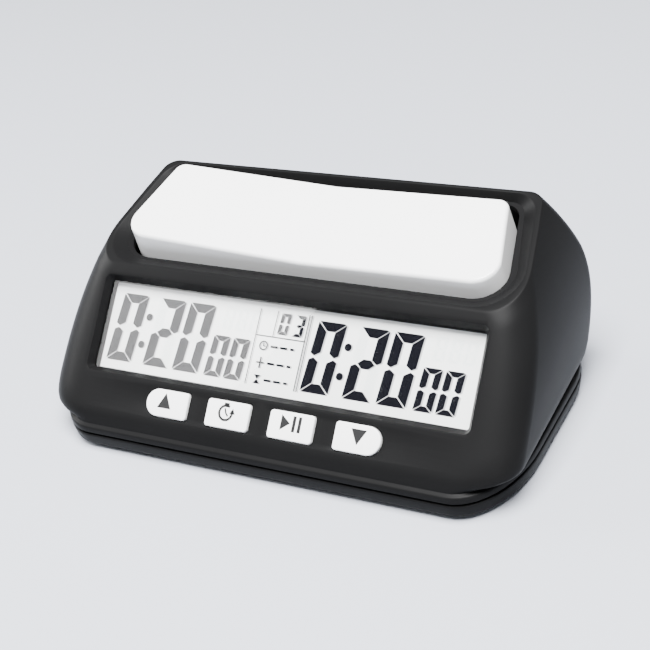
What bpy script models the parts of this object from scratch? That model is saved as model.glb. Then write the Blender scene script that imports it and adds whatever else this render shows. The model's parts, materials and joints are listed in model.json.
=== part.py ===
"""Digital chess clock: housings, two-player rocker, display, four keys, circuit and battery.

World frame in metres: +X to the right of the display, +Y to the back, +Z up, the floor at Z = 0.
The measures below are in millimetres and degrees, and MM turns a length into metres.
Three working frames are used: the base (the world itself), the sloping front face (x, up the slope,
out of the face) and the sloping top deck around the rocker (x, towards the back, out of the deck).
"""
import math

import bmesh
import bpy
from mathutils import Matrix, Vector

MM = 0.001
NAME = "chess_clock"
GAP = 0.3  # air kept between two pieces that touch
WALL = 2.2  # wall of both housings

# Plan of the base
BASE_FRONT = -42.2
BASE_REAR = 42.8
BASE_HALF = 76.7
BASE_WIDEN = 1.6  # the sides open by this much from front to rear
BASE_CORNER = (17.0, 27.4)  # front corner, an elliptic arc: across and along
BASE_REAR_RADIUS = 28.2
BASE_BOTTOM = 1.2
BASE_FLOOR = 1.8
PARTING = 5.6
PARTING_GAP = 0.6
TONGUE_TOP = 8.2
TONGUE = 1.4

# Upper body
CREASE = 9.0  # height where the body meets its flange
LEDGE = 1.5  # width of the flange outside the crease
FOOT_TOP = 10.8  # from here up the body no longer follows the base
FACE_ANGLE = 43.4
FACE_Y = -41.9
FACE_Z = 10.0
FACE_HALF = 63.5
CORNER_FLAT = 60.5  # the flat part is narrower at the foot and at the deck
ROLL_TOP = 13.8
FACE_CURL = 0.75  # how strongly the foot of the face rolls under
DECK_EASE = (42.0, 45.5)  # heights over which the corner eases towards the deck
DECK_ANGLE = 15.8
DECK_Y = -5.6
DECK_Z = 44.5
FLANK_HALF = 77.9
FLANK_HEIGHT = 13.5  # height of the widest section
FLANK_DROP = 13.4  # the flank draws in by this much over the next height
FLANK_RISE = 43.0
FLANK_POWER = 2.6
FLANK_UNDER = (8.9, 10.0)  # the flank rolls under by this much, over this height
CORNER_DEPTH = (12.6, 11.7)  # at the foot and above it
BODY_REAR = 42.9
REAR_LEAN = 5.2
REAR_RADIUS = (22.2, 4.0)
REAR_RADIUS_TOP = 40.0
REAR_RADIUS_POWER = 1.5
REAR_POWER = 2.1
BODY_RISE = 49.0
CORNER_RISE = (11.0, 16.8)  # heights over which the front corner tightens
WELL_FRONT = 1.2
WELL_REAR = 44.1
WELL_HALF = (71.4, 63.0)
WELL_RADIUS = (13.0, 8.0)
LIP_DEPTH = 2.8
LIP_INSET = (4.0, 3.9, 1.2)  # front, sides, rear
LIP_THICKNESS = 1.8
SKIN_LEVELS = (0.0, 0.04, 0.08, 0.13, 0.28, 0.45, 0.6, 0.75, 0.86, 0.93, 0.97, 1.0)
CAVITY_LEVELS = (0.0, 0.05, 0.09, 0.14, 0.3, 0.6, 0.8, 0.92, 1.0)

# Rocker, in the deck's frame
ROCKER_FRONT = 7.4
ROCKER_REAR = 40.6
ROCKER_HALF = (63.8, 56.8)
ROCKER_RADIUS = (8.0, 4.5)
ROCKER_GAP = 1.2
ROCKER_TILT = 1.6
ROCKER_VALLEY = 2.7  # each half of the top rises by this angle from the middle
ROCKER_TOP = 1.2
ROCKER_SKIRT = -8.2
ROCKER_WALL = 1.8
ROCKER_EDGE = ((-1.5, 0.9), (-0.75, 1.05), (-0.2, 1.4), (0.0, 1.9))  # fall and inset of each ring
ROCKER_DRAFT = 1.2  # the rear wall leans in by this much more at the skirt
HUB_HALF = 4.0
LEG_HALF = 3.0
PIVOT = -7.0
PIN_RADIUS = 1.3
PIN_FRONT = ROCKER_FRONT + 2.4
PIN_REAR = ROCKER_REAR - 0.9
BRACKET = (4.0, 2.4)
BRACKET_AT = (11.5, 34.7)
CARRIER_TOP = -17.0
CARRIER_THICKNESS = 1.6
CARRIER_HALF = 59.5
EAR = (69.6, 14.0)  # screw place at each end of the carrier
SWITCH_BOARD = (-30.2, 1.6)  # top and thickness
SWITCH_BOARD_HALF = (58.5, 9.0)
SWITCH_POST = 54.0
SWITCH_BODY = (2.9, 6.4, 6.8)  # half width, half length, height
SWITCH_X = 45.0
SWITCH_S = 24.0
LEG_BOTTOM = -9.6
PLUNGER_RADIUS = 2.0
LEAF = (16.0, 0.4, 3.0)  # reach, thickness and half width of the detent spring

# Display and keys, in the face's frame
WINDOW_S = 31.6
WINDOW_OUTER = (63.9, 15.1)
WINDOW_INNER = (62.0, 13.1)
KEY_S = 10.2
KEY_PITCH = 21.2
KEY_HALF = (7.2, 4.1)
KEY_RADIUS = 1.0
KEY_PROUD = 0.6
BOARD_DEPTH = 9.7
BOARD_THICKNESS = 1.6
MAIN_BOARD = (62.0, 4.0, 49.0)  # half width, lower and upper edge
BOARD_POST = (50.0, 9.5)
KEYS = (("key_up", -1.5 * KEY_PITCH, "left"), ("key_reset", -0.5 * KEY_PITCH, "box"),
        ("key_play_pause", 0.5 * KEY_PITCH, "box"), ("key_down", 1.5 * KEY_PITCH, "right"))

# Battery
CELL_RADIUS = 7.1
CELL_LENGTH = 50.0
CELL_Y = 24.0
CELL_Z = 10.4
DOOR_HALF = 25.5
DOOR_FRONT = 14.8
DOOR_FLANGE = 1.7

FRONT_POST = (68.5, -18.0)
REAR_POST = (63.0, 27.0)
REAR_POST_TOP = 36.0
FOOT_AT = ((60.0, -27.0), (45.0, 28.0))
FOOT_RADIUS = 5.5
POST_RADIUS = 3.3
BOSS_RADIUS = 3.9
THREAD = 1.6  # radius of the hole for a case screw
SMALL_THREAD = 1.3
SMALL_HEAD = (2.3, 1.8)  # radius and depth
CROSS = (1.5, 0.25, 0.7)  # half length, half width and depth of a screw's cross
BUZZER = (-48.0, 6.0)
BUZZER_RADIUS = 9.0


# ---------------------------------------------------------------- helpers

def clear_scene():
    for item in list(bpy.data.objects):
        bpy.data.objects.remove(item, do_unlink=True)


def collection(name):
    made = bpy.data.collections.new(name)
    bpy.context.scene.collection.children.link(made)
    return made


def frame(name, location, rotation, parent=None):
    """An empty that carries a local frame; location in millimetres, rotation in degrees."""
    empty = bpy.data.objects.new(name, None)
    PARTS.objects.link(empty)
    empty.location = Vector(location) * MM
    empty.rotation_euler = [math.radians(angle) for angle in rotation]
    empty.parent = parent
    return empty


def material(name, colour, roughness, metallic=0.0, alpha=1.0):
    made = bpy.data.materials.new(name)
    made.use_nodes = True
    shader = made.node_tree.nodes["Principled BSDF"]
    shader.inputs["Base Color"].default_value = (*colour, 1.0)
    shader.inputs["Roughness"].default_value = roughness
    shader.inputs["Metallic"].default_value = metallic
    shader.inputs["Alpha"].default_value = alpha
    return made


def finish(name, bm, look=None, parent=None, at=(0, 0, 0), turn=(0, 0, 0)):
    """Turns a bmesh in millimetres into an object; without a look it is a cutter."""
    bmesh.ops.scale(bm, vec=(MM, MM, MM), verts=bm.verts)
    bmesh.ops.recalc_face_normals(bm, faces=bm.faces)
    mesh = bpy.data.meshes.new(name)
    bm.to_mesh(mesh)
    bm.free()
    made = bpy.data.objects.new(name, mesh)
    if look is None:
        CUTTERS.objects.link(made)
        made.hide_render = True
        made.display_type = "WIRE"
    else:
        PARTS.objects.link(made)
        mesh.materials.append(look)
    made.parent = parent
    made.location = Vector(at) * MM
    made.rotation_euler = [math.radians(angle) for angle in turn]
    return made


def boolean(target, other, operation="DIFFERENCE"):
    modifier = target.modifiers.new(other.name, "BOOLEAN")
    modifier.object = other
    modifier.operation = operation
    modifier.solver = "EXACT"
    return modifier


def bevel(target, width, segments=2, angle=30.0):
    modifier = target.modifiers.new("Bevel", "BEVEL")
    modifier.width = width * MM
    modifier.segments = segments
    modifier.limit_method = "ANGLE"
    modifier.angle_limit = math.radians(angle)


def block(low, high):
    """Box between two corners."""
    bm = bmesh.new()
    size = [b - a for a, b in zip(low, high)]
    middle = [(a + b) / 2 for a, b in zip(low, high)]
    move = Matrix.Translation(middle) @ Matrix.Diagonal((*size, 1.0))
    bmesh.ops.create_cube(bm, size=1.0, matrix=move)
    return bm


def rod(radius, low, high, x=0.0, y=0.0, sides=20, top_radius=None):
    """Cylinder or cone along local Z."""
    bm = bmesh.new()
    bmesh.ops.create_cone(
        bm, cap_ends=True, segments=sides, radius1=radius,
        radius2=radius if top_radius is None else top_radius, depth=high - low,
        matrix=Matrix.Translation((x, y, (low + high) / 2)))
    return bm


def plate(outline, low, high):
    """Straight prism on a flat outline."""
    bm = bmesh.new()
    face = bm.faces.new([bm.verts.new((x, y, low)) for x, y in outline])
    raised = bmesh.ops.extrude_face_region(bm, geom=[face])["geom"]
    verts = [item for item in raised if isinstance(item, bmesh.types.BMVert)]
    bmesh.ops.translate(bm, verts=verts, vec=(0, 0, high - low))
    return bm


def loft(rings, caps=True):
    """Skin over rings that have the same number of points, closed at both ends."""
    bm = bmesh.new()
    rows = [[bm.verts.new(point) for point in ring] for ring in rings]
    for lower, upper in zip(rows, rows[1:]):
        for k in range(len(lower)):
            after = (k + 1) % len(lower)
            bm.faces.new((lower[k], lower[after], upper[after], upper[k]))
    if caps:
        bm.faces.new(rows[0][::-1])
        bm.faces.new(rows[-1])
    return bm


def mirrored(half):
    """Whole outline from its right half, which runs from the front middle to the rear middle."""
    return half + [(-x, y) for x, y in half[-2:0:-1]]


def arc(centre, radii, start, end, steps):
    points = []
    for k in range(steps + 1):
        angle = math.radians(start + (end - start) * k / steps)
        x = centre[0] + radii[0] * math.cos(angle)
        y = centre[1] + radii[1] * math.sin(angle)
        points.append((x, y))
    return points


def rounded(corners, radii, steps=4):
    """Outline of a polygon whose corners are rounded by tangent arcs."""
    points = []
    count = len(corners)
    for k in range(count):
        corner = Vector(corners[k])
        before = (Vector(corners[k - 1]) - corner).normalized()
        after = (Vector(corners[(k + 1) % count]) - corner).normalized()
        half = before.angle(after) / 2
        centre = corner + (before + after).normalized() * (radii[k] / math.sin(half))
        start = corner + before * (radii[k] / math.tan(half)) - centre
        end = corner + after * (radii[k] / math.tan(half)) - centre
        sweep = start.angle_signed(end)
        for step in range(steps + 1):
            points.append(tuple(centre + Matrix.Rotation(-sweep * step / steps, 2) @ start))
    return points


def rounded_box(half_x, half_y, radius, middle=(0.0, 0.0), steps=4):
    signs = ((-1, -1), (1, -1), (1, 1), (-1, 1))
    corners = [(middle[0] + across * half_x, middle[1] + along * half_y) for across, along in signs]
    return rounded(corners, [radius] * 4, steps)


def trapezoid(front, rear, half, radii, inset=(0.0, 0.0, 0.0), steps=5):
    """Rounded trapezoid with a point on the middle line; inset is front, sides, rear."""
    front_in, side_in, rear_in = inset
    shrink = (front_in + rear_in) / 2
    corners = ((half[0] - side_in, front + front_in), (half[1] - side_in, rear - rear_in),
               (side_in - half[1], rear - rear_in), (side_in - half[0], front + front_in))
    turns = [max(radii[0] - shrink, 1.0), max(radii[1] - shrink, 1.0)]
    ring = rounded(corners, [turns[0], turns[1], turns[1], turns[0]], steps)
    right = ring[:2 * (steps + 1)]
    return mirrored([(0.0, front + front_in), *right, (0.0, rear - rear_in)])


def wire(name, points, radius, look, sides=2):
    """Round lead on a smooth route through the given points."""
    curve = bpy.data.curves.new(name, "CURVE")
    curve.dimensions = "3D"
    curve.bevel_depth = radius * MM
    curve.bevel_resolution = sides
    curve.use_fill_caps = True
    spline = curve.splines.new("POLY")
    route = smooth(points)
    spline.points.add(len(route) - 1)
    for target, point in zip(spline.points, route):
        target.co = (*(Vector(point) * MM), 1.0)
    made = bpy.data.objects.new(name, curve)
    curve.materials.append(look)
    PARTS.objects.link(made)
    return made


def smooth(points, steps=6):
    """Catmull-Rom curve through the points."""
    route = [Vector(point) for point in points]
    ends = [2 * route[0] - route[1], *route, 2 * route[-1] - route[-2]]
    dense = []
    for k in range(1, len(ends) - 2):
        a, b, c, d = ends[k - 1:k + 3]
        for step in range(steps):
            t = step / steps
            dense.append(0.5 * (2 * b + (c - a) * t + (2 * a - 5 * b + 4 * c - d) * t * t
                                + (3 * b - a - 3 * c + d) * t ** 3))
    dense.append(route[-1])
    return dense


# ---------------------------------------------------------------- body shape

def half_width(z):
    """Half width of the upper body at its front, by height."""
    if z >= FLANK_HEIGHT:
        return FLANK_HALF - FLANK_DROP * ((z - FLANK_HEIGHT) / FLANK_RISE) ** FLANK_POWER
    fall = min((FLANK_HEIGHT - z) / FLANK_UNDER[1], 0.98)
    return FLANK_HALF - FLANK_UNDER[0] * (1 - math.sqrt(1 - fall * fall))


def front_y(z):
    """Front of the upper body: the sloping face, rolled under at its foot."""
    slope = 1 / math.tan(math.radians(FACE_ANGLE))
    if z >= ROLL_TOP:
        return FACE_Y + (z - FACE_Z) * slope
    drop = ROLL_TOP - z
    curl = FACE_CURL * drop * drop / (ROLL_TOP - CREASE + 1.4)
    return FACE_Y + (ROLL_TOP - FACE_Z) * slope - slope * (drop - curl)


def rear_y(z):
    return BODY_REAR - REAR_LEAN * (max(z - CREASE, 0.0) / BODY_RISE) ** REAR_POWER


def ease(value, start, end):
    """Smooth step from 0 at start to 1 at end."""
    share = min(max((value - start) / (end - start), 0.0), 1.0)
    return share * share * (3 - 2 * share)


def front_corner(z):
    """Half width of the flat part of the front face, and the depth of the corner beside it."""
    below = 1 - ease(z, *CORNER_RISE)
    above = ease(z, *DECK_EASE)
    flat = FACE_HALF + (CORNER_FLAT - FACE_HALF) * max(below, above)
    return flat, CORNER_DEPTH[1] + (CORNER_DEPTH[0] - CORNER_DEPTH[1]) * below


def section(z, inset=0.0, steps=6):
    """Right half of the upper body's outline at one height: it grows out of the base's plan."""
    share = ease(z, CREASE, FOOT_TOP)
    foot = base_outline(inset + LEDGE, steps)
    free = free_section(z, inset, steps)
    return [tuple(Vector(a).lerp(Vector(b), share)) for a, b in zip(foot, free)]


def free_section(z, inset, steps):
    """Right half outline of the upper body above its foot, from the front middle."""
    slant = math.sin(math.radians(FACE_ANGLE))
    half = half_width(z) - inset
    front = front_y(z) + inset / slant
    rear = rear_y(z) - inset
    flat, depth = front_corner(z)
    flat = min(flat, half - 3.0)
    depth = min(depth, (rear - front) / 2 - 1)
    left = min(max((REAR_RADIUS_TOP - z) / (REAR_RADIUS_TOP - CREASE), 0.0), 1.0) ** REAR_RADIUS_POWER
    radius = REAR_RADIUS[1] + (REAR_RADIUS[0] - REAR_RADIUS[1]) * left
    radius = max(min(radius, (rear - front) / 2 - 1) - inset, 1.0)
    points = [(0.0, front), (flat / 2, front)]
    points += arc((flat, front + depth), (half - flat, depth), -90, 0, steps)
    points += [(half, (front + depth + rear - radius) / 2)]
    points += arc((half - radius, rear - radius), (radius, radius), 0, 90, steps)
    points += [(0.0, rear)]
    return points


def deck_height(y, drop=0.0):
    """Height of the deck plane above a place, or of a plane that lies under it."""
    tilt = math.radians(DECK_ANGLE)
    return DECK_Z + (y - DECK_Y) * math.tan(tilt) - drop / math.cos(tilt)


def column_top(index, inset, drop):
    """Height at which one column of the body's skin meets the deck plane."""
    low, high = CREASE, 70.0
    for _ in range(40):
        middle = (low + high) / 2
        if middle < deck_height(section(middle, inset)[index][1], drop):
            low = middle
        else:
            high = middle
    return low


def body_rings(levels, inset=0.0, drop=0.0):
    """Rings of the upper body between its crease and the deck plane, at these fractions."""
    count = len(section(CREASE, inset))
    tops = [column_top(index, inset, drop) for index in range(count)]
    rings = []
    for level in levels:
        ring = []
        for index, top in enumerate(tops):
            z = CREASE + (top - CREASE) * level
            x, y = section(z, inset)[index]
            ring.append((x, y, z))
        rings.append(whole(ring))
    return rings


def whole(half):
    """Whole ring in space from its right half."""
    return half + [(-x, y, z) for x, y, z in half[-2:0:-1]]


def base_outline(inset=0.0, steps=6):
    """Right half of the base's plan."""
    half = BASE_HALF - inset
    front = BASE_FRONT + inset
    rear = BASE_REAR - inset
    across, along = (radius - inset for radius in BASE_CORNER)
    radius = BASE_REAR_RADIUS - inset
    points = [(0.0, front), (half / 2, front)]
    points += arc((half - across, front + along), (across, along), -90, 0, steps)
    points += [(half, (front + along + rear - radius) / 2)]
    points += arc((half - radius, rear - radius), (radius, radius), 0, 90, steps)
    points += [(0.0, rear)]
    return [(x * (1 + BASE_WIDEN / half * (y - front) / (rear - front)), y) for x, y in points]


def base_ring(z, inset=0.0):
    return [(x, y, z) for x, y in mirrored(base_outline(inset))]


# ---------------------------------------------------------------- housings

def well_outline(share, grow):
    """Outline of the well, where the share runs from 0 at its rim to 1 at its ledge."""
    inset = [amount * share - grow for amount in LIP_INSET]
    return trapezoid(WELL_FRONT, WELL_REAR, WELL_HALF, WELL_RADIUS, inset)


def ring_at(outline, z):
    return [(x, y, z) for x, y in outline]


def well_solid(name, grow, bottom, top=1.5):
    """Tapered solid of the well; it is cut out, and a larger one keeps its walls."""
    over = -top / LIP_DEPTH
    rings = [ring_at(well_outline(1.0, grow), bottom), ring_at(well_outline(1.0, grow), -LIP_DEPTH),
             ring_at(well_outline(over, grow), top)]
    return finish(name, loft(rings), parent=DECK)


def upper_housing():
    outer = body_rings(SKIN_LEVELS)
    foot = PARTING + PARTING_GAP
    flange = [base_ring(foot, 0.4), base_ring(foot + 0.4, 0.0), base_ring(foot + 2.0, 0.1),
              base_ring(foot + 2.5, 0.7)]
    housing = finish("upper_housing", loft(flange + outer), LOOK["case"])
    cavity = finish("cut_upper_cavity", loft(cavity_rings()))
    boolean(cavity, well_solid("keep_well", LIP_THICKNESS, -LIP_DEPTH - LIP_THICKNESS, 4.0))
    for name, bm, parent in kept_posts():
        boolean(cavity, finish("keep_" + name, bm, parent=parent))
    boolean(housing, cavity)
    boolean(housing, well_solid("cut_well", 0.0, -LIP_DEPTH - 0.01))
    opening = trapezoid(ROCKER_FRONT, ROCKER_REAR, ROCKER_HALF, ROCKER_RADIUS, [-ROCKER_GAP] * 3)
    boolean(housing, finish("cut_rocker_opening", plate(opening, ROCKER_SKIRT, -2.0), parent=DECK))
    boolean(housing, finish("cut_window", loft([
        ring_at(rounded_box(*WINDOW_INNER, 0.6, (0, WINDOW_S)), -WALL - 1.0),
        ring_at(rounded_box(*WINDOW_OUTER, 1.2, (0, WINDOW_S)), 0.02),
        ring_at(rounded_box(*WINDOW_OUTER, 1.2, (0, WINDOW_S)), 3.0)]), parent=FACE))
    for name, x, style in KEYS:
        hole = plate(key_outline(style, GAP), -WALL - 1.5, 2.0)
        boolean(housing, finish("cut_" + name, hole, parent=FACE, at=(x, KEY_S, 0)))
    for name, x, y in post_places():
        boolean(housing, finish("cut_thread_" + name, rod(THREAD, 5.0, 17.0, x, y, 12)))
    for side in (-1, 1):
        ear_thread = rod(SMALL_THREAD, -20.0, -9.0, side * EAR[0], EAR[1], 12)
        boolean(housing, finish("cut_carrier_thread", ear_thread, parent=DECK))
        board_thread = rod(SMALL_THREAD, -20.0, -4.5, side * BOARD_POST[0], BOARD_POST[1], 12)
        boolean(housing, finish("cut_board_thread", board_thread, parent=FACE))
    return housing


def cavity_rings():
    """The inside of the upper housing, down to just above the base."""
    rings = body_rings(CAVITY_LEVELS, WALL, WALL)
    foot = [(x, y, PARTING - 2.0) for x, y, _ in rings[0]]
    return [foot] + rings


def post_places():
    places = []
    for name, x, y in (("front", *FRONT_POST), ("rear", *REAR_POST)):
        places += [(name + "_left", -x, y), (name + "_right", x, y)]
    return places


def kept_posts():
    """Solids left standing inside the upper housing: screw posts and bosses."""
    posts = []
    for name, x, y in post_places():
        top = 60.0 if y < 0 else REAR_POST_TOP
        posts.append(("post_" + name, rod(POST_RADIUS, TONGUE_TOP + GAP, top, x, y, 16), None))
    for side, word in ((-1, "left"), (1, "right")):
        ends = sorted((side * (REAR_POST[0] + 2), side * 82))
        rib = block((ends[0], REAR_POST[1] - 1, TONGUE_TOP + GAP), (ends[1], REAR_POST[1] + 1, REAR_POST_TOP))
        posts.append(("rib_" + word, rib, None))
        ear = rod(2.8, CARRIER_TOP + GAP, 2.0, side * EAR[0], EAR[1], 14)
        posts.append(("ear_" + word, ear, DECK))
        board_post = rod(2.5, GAP - BOARD_DEPTH, 1.0, side * BOARD_POST[0], BOARD_POST[1], 14)
        posts.append(("board_post_" + word, board_post, FACE))
    return posts


def lower_housing():
    rings = [base_ring(BASE_BOTTOM, 1.4), base_ring(BASE_BOTTOM + 0.4, 0.7),
             base_ring(BASE_BOTTOM + 1.2, 0.4), base_ring(PARTING - 0.3, 0.0), base_ring(PARTING, 0.3)]
    housing = finish("lower_housing", loft(rings), LOOK["base"])
    tongue = plate(body_rim(WALL + GAP), BASE_BOTTOM + 1.0, TONGUE_TOP)
    boolean(housing, finish("add_tongue", tongue), "UNION")
    cavity = plate(body_rim(WALL + GAP + TONGUE), BASE_BOTTOM + BASE_FLOOR, TONGUE_TOP + 2.0)
    boolean(housing, finish("cut_lower_cavity", cavity))
    for name, bm in base_features():
        boolean(housing, finish("add_" + name, bm), "UNION")
    slot_low = block((-DOOR_HALF - GAP, DOOR_FRONT - GAP, 0), (DOOR_HALF + GAP, 60, BASE_BOTTOM + 0.6))
    slot_high = block((-DOOR_HALF - DOOR_FLANGE - GAP, DOOR_FRONT - GAP, BASE_BOTTOM + 0.5),
                      (DOOR_HALF + DOOR_FLANGE + GAP, 60, BASE_BOTTOM + BASE_FLOOR + 0.1))
    boolean(housing, finish("cut_door_slot", slot_low))
    boolean(housing, finish("cut_door_rails", slot_high))
    for name, x, y in post_places():
        boolean(housing, finish("cut_screw_" + name, rod(THREAD, -1, 20, x, y, 12)))
        boolean(housing, finish("cut_head_" + name, rod(3.0, -1, 4.6, x, y, 16)))
    for name, x, y in feet_places():
        boolean(housing, finish("cut_" + name, rod(FOOT_RADIUS + GAP, -1, BASE_BOTTOM + 0.8, x, y, 24)))
    for k in range(5):
        angle = math.radians(90 + 72 * k)
        x = BUZZER[0] + 0.5 * BUZZER_RADIUS * math.cos(angle)
        y = BUZZER[1] + 0.5 * BUZZER_RADIUS * math.sin(angle)
        boolean(housing, finish("cut_sound_hole", rod(1.0, -1, 5, x, y, 10)))
    return housing


def body_rim(inset):
    """Plan inside the upper housing's foot."""
    return mirrored(section(CREASE, inset))


def base_features():
    """Bosses and battery walls that stand on the floor of the base."""
    floor = BASE_BOTTOM + 0.5
    features = []
    for name, x, y in post_places():
        features.append(("boss_" + name, rod(BOSS_RADIUS, floor, TONGUE_TOP, x, y, 16)))
    reach = CELL_LENGTH / 2 + 4.0
    for side, word in ((-1, "left"), (1, "right")):
        low = (min(side * reach, side * (reach + 1.6)), CELL_Y - 8.5, floor)
        high = (max(side * reach, side * (reach + 1.6)), CELL_Y + 8.5, CELL_Z + 4.0)
        features.append(("cell_end_" + word, block(low, high)))
    for y, word in ((CELL_Y - 9.6, "front"), (CELL_Y + 8.0, "rear")):
        wall = block((-reach - 1.6, y, floor), (reach + 1.6, y + 1.6, CELL_Z))
        features.append(("cell_side_" + word, wall))
    return features


def feet_places():
    places = []
    for word, (x, y) in zip(("front", "rear"), FOOT_AT):
        places += [("foot_" + word + "_left", -x, y), ("foot_" + word + "_right", x, y)]
    return places


def feet():
    for name, x, y in feet_places():
        foot = finish(name, rod(FOOT_RADIUS, 0.0, BASE_BOTTOM + 0.5, sides=24), LOOK["rubber"], at=(x, y, 0))
        bevel(foot, 0.4)


def screw(name, head_radius, head, shank_radius, shank, look, parent=None, at=(0, 0, 0)):
    """Pan-head screw along local Z with a cross recess; head and shank are (low, high)."""
    made = finish(name, rod(head_radius, *head, sides=16), look, parent, at)
    boolean(made, finish("add_shank_" + name, rod(shank_radius, *shank, sides=12), None, parent, at), "UNION")
    for turn in (0, 90):
        slot = block((-CROSS[0], -CROSS[1], head[0] - 1), (CROSS[0], CROSS[1], head[0] + CROSS[2]))
        boolean(made, finish("cut_cross_" + name, slot, None, parent, at, (0, 0, turn)))
    return made


def small_screw(name, under, tip, parent, at):
    """Screw whose head sits just below the given height, up to its tip."""
    return screw(name, SMALL_HEAD[0], (under - SMALL_HEAD[1], under - GAP), 1.0, (under - 0.6, tip),
                 LOOK["screw"], parent, at)


def case_screws():
    for name, x, y in post_places():
        screw("case_screw_" + name, 2.6, (2.7, 4.3), 1.3, (4.0, 16.0), LOOK["screw"], at=(x, y, 0))


def battery_door():
    low = BASE_BOTTOM
    panel = block((-DOOR_HALF, DOOR_FRONT, low), (DOOR_HALF, BASE_REAR - 0.6, low + 1.6))
    door = finish("battery_door", panel, LOOK["base"])
    reach = DOOR_HALF + DOOR_FLANGE
    flange = block((-reach, DOOR_FRONT, low + 0.8), (reach, BASE_REAR - 0.6, low + 1.6))
    boolean(door, finish("add_door_flange", flange), "UNION")
    for k in range(4):
        y = BASE_REAR - 9.0 + 1.6 * k
        boolean(door, finish("cut_door_grip", block((-8, y, 0), (8, y + 0.8, low + 0.4))))
    return door


# ---------------------------------------------------------------- rocker

def rocker_ring(z, inset, top=None):
    """Ring of the rocker in the deck's frame, level or along the V-shaped top."""
    outline = trapezoid(ROCKER_FRONT, ROCKER_REAR, ROCKER_HALF, ROCKER_RADIUS, inset)
    rise = math.tan(math.radians(ROCKER_VALLEY))
    return [(x, y, z if top is None else top + abs(x) * rise) for x, y in outline]


def rocker_shell(name, inset, drop, look):
    """Closed solid of the rocker; the inner one is the outer one, smaller and lower."""
    foot = ROCKER_SKIRT if look else ROCKER_SKIRT - 2.0
    rings = [rocker_ring(foot, (inset, inset, inset + ROCKER_DRAFT))]
    for fall, taper in ROCKER_EDGE:
        rings.append(rocker_ring(0, [inset + taper] * 3, ROCKER_TOP - drop + fall))
    rings = [[(x, y, z - PIVOT) for x, y, z in ring] for ring in rings]
    bm = loft(rings, caps=False)
    bm.verts.ensure_lookup_table()
    count = len(rings[0])
    middle = count // 2
    bm.faces.new([bm.verts[k] for k in range(count)][::-1])
    top = [bm.verts[k] for k in range((len(rings) - 1) * count, len(rings) * count)]
    bm.faces.new(top[:middle + 1])
    bm.faces.new(top[middle:] + [top[0]])
    return finish(name, bm, look, parent=ROCKER)


def rocker_bar():
    bar = rocker_shell("rocker_bar", 0.0, 0.0, LOOK["rocker"])
    hollow = rocker_shell("cut_rocker_hollow", ROCKER_WALL, 2.0, None)
    inside, above = 5.0, 12.0
    front, rear = BRACKET_AT[0] + BRACKET[1] + 0.6, BRACKET_AT[1] - 0.6
    studs = [("rocker_hub", (-HUB_HALF, front, LEG_BOTTOM - PIVOT - 0.4), (HUB_HALF, rear))]
    for side, word in ((-1, "left"), (1, "right")):
        x = side * SWITCH_X
        studs.append(("leg_" + word, (x - LEG_HALF, SWITCH_S - LEG_HALF, LEG_BOTTOM - PIVOT),
                      (x + LEG_HALF, SWITCH_S + LEG_HALF)))
    for word, low, high in studs:
        boolean(hollow, finish("keep_" + word, block(low, (*high, above)), parent=ROCKER))
        boolean(bar, finish("add_" + word, block(low, (*high, inside)), parent=ROCKER), "UNION")
    boolean(bar, hollow)
    bore = rod(PIN_RADIUS + GAP, PIN_FRONT - GAP, 60)
    boolean(bar, finish("cut_rocker_bore", bore, parent=ROCKER, turn=(-90, 0, 0)))
    return bar


def rocker_pin():
    pin = rod(PIN_RADIUS, PIN_FRONT, PIN_REAR)
    finish("rocker_pin", pin, LOOK["steel"], DECK, (0, 0, PIVOT), (-90, 0, 0))


def rocker_carrier():
    top, low = CARRIER_TOP, CARRIER_TOP - CARRIER_THICKNESS
    floor = block((-CARRIER_HALF, 4.5, low), (CARRIER_HALF, 37.8, top))
    carrier = finish("rocker_carrier", floor, LOOK["inner"], DECK)
    ears = block((-EAR[0] - 2.4, EAR[1] - 4, low), (EAR[0] + 2.4, EAR[1] + 4, top))
    boolean(carrier, finish("add_carrier_ears", ears, parent=DECK), "UNION")
    for k, start in enumerate(BRACKET_AT):
        tall = block((-BRACKET[0], start, low + 0.5), (BRACKET[0], start + BRACKET[1], PIVOT + 2.3))
        boolean(carrier, finish("add_bracket_%d" % k, tall, parent=DECK), "UNION")
    bore = rod(PIN_RADIUS + GAP, 0, 60)
    boolean(carrier, finish("cut_pin_bore", bore, None, DECK, (0, 0, PIVOT), (-90, 0, 0)))
    for side, word in ((-1, "left"), (1, "right")):
        post = rod(2.6, SWITCH_BOARD[0] + GAP, top - 0.5, side * SWITCH_POST, SWITCH_S, 14)
        boolean(carrier, finish("add_switch_post_" + word, post, parent=DECK), "UNION")
        thread = rod(SMALL_THREAD, SWITCH_BOARD[0] - 2, low - 3.0, side * SWITCH_POST, SWITCH_S, 12)
        boolean(carrier, finish("cut_switch_thread_" + word, thread, parent=DECK))
        guide = rod(PLUNGER_RADIUS + GAP, -30, 0, side * SWITCH_X, SWITCH_S, 16)
        boolean(carrier, finish("cut_guide_" + word, guide, parent=DECK))
        hole = rod(THREAD, -30, 0, side * EAR[0], EAR[1], 12)
        boolean(carrier, finish("cut_ear_" + word, hole, parent=DECK))
        place = (side * EAR[0], EAR[1], 0)
        small_screw("carrier_screw_" + word, low, -10.0, DECK, place)
    return carrier


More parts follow.
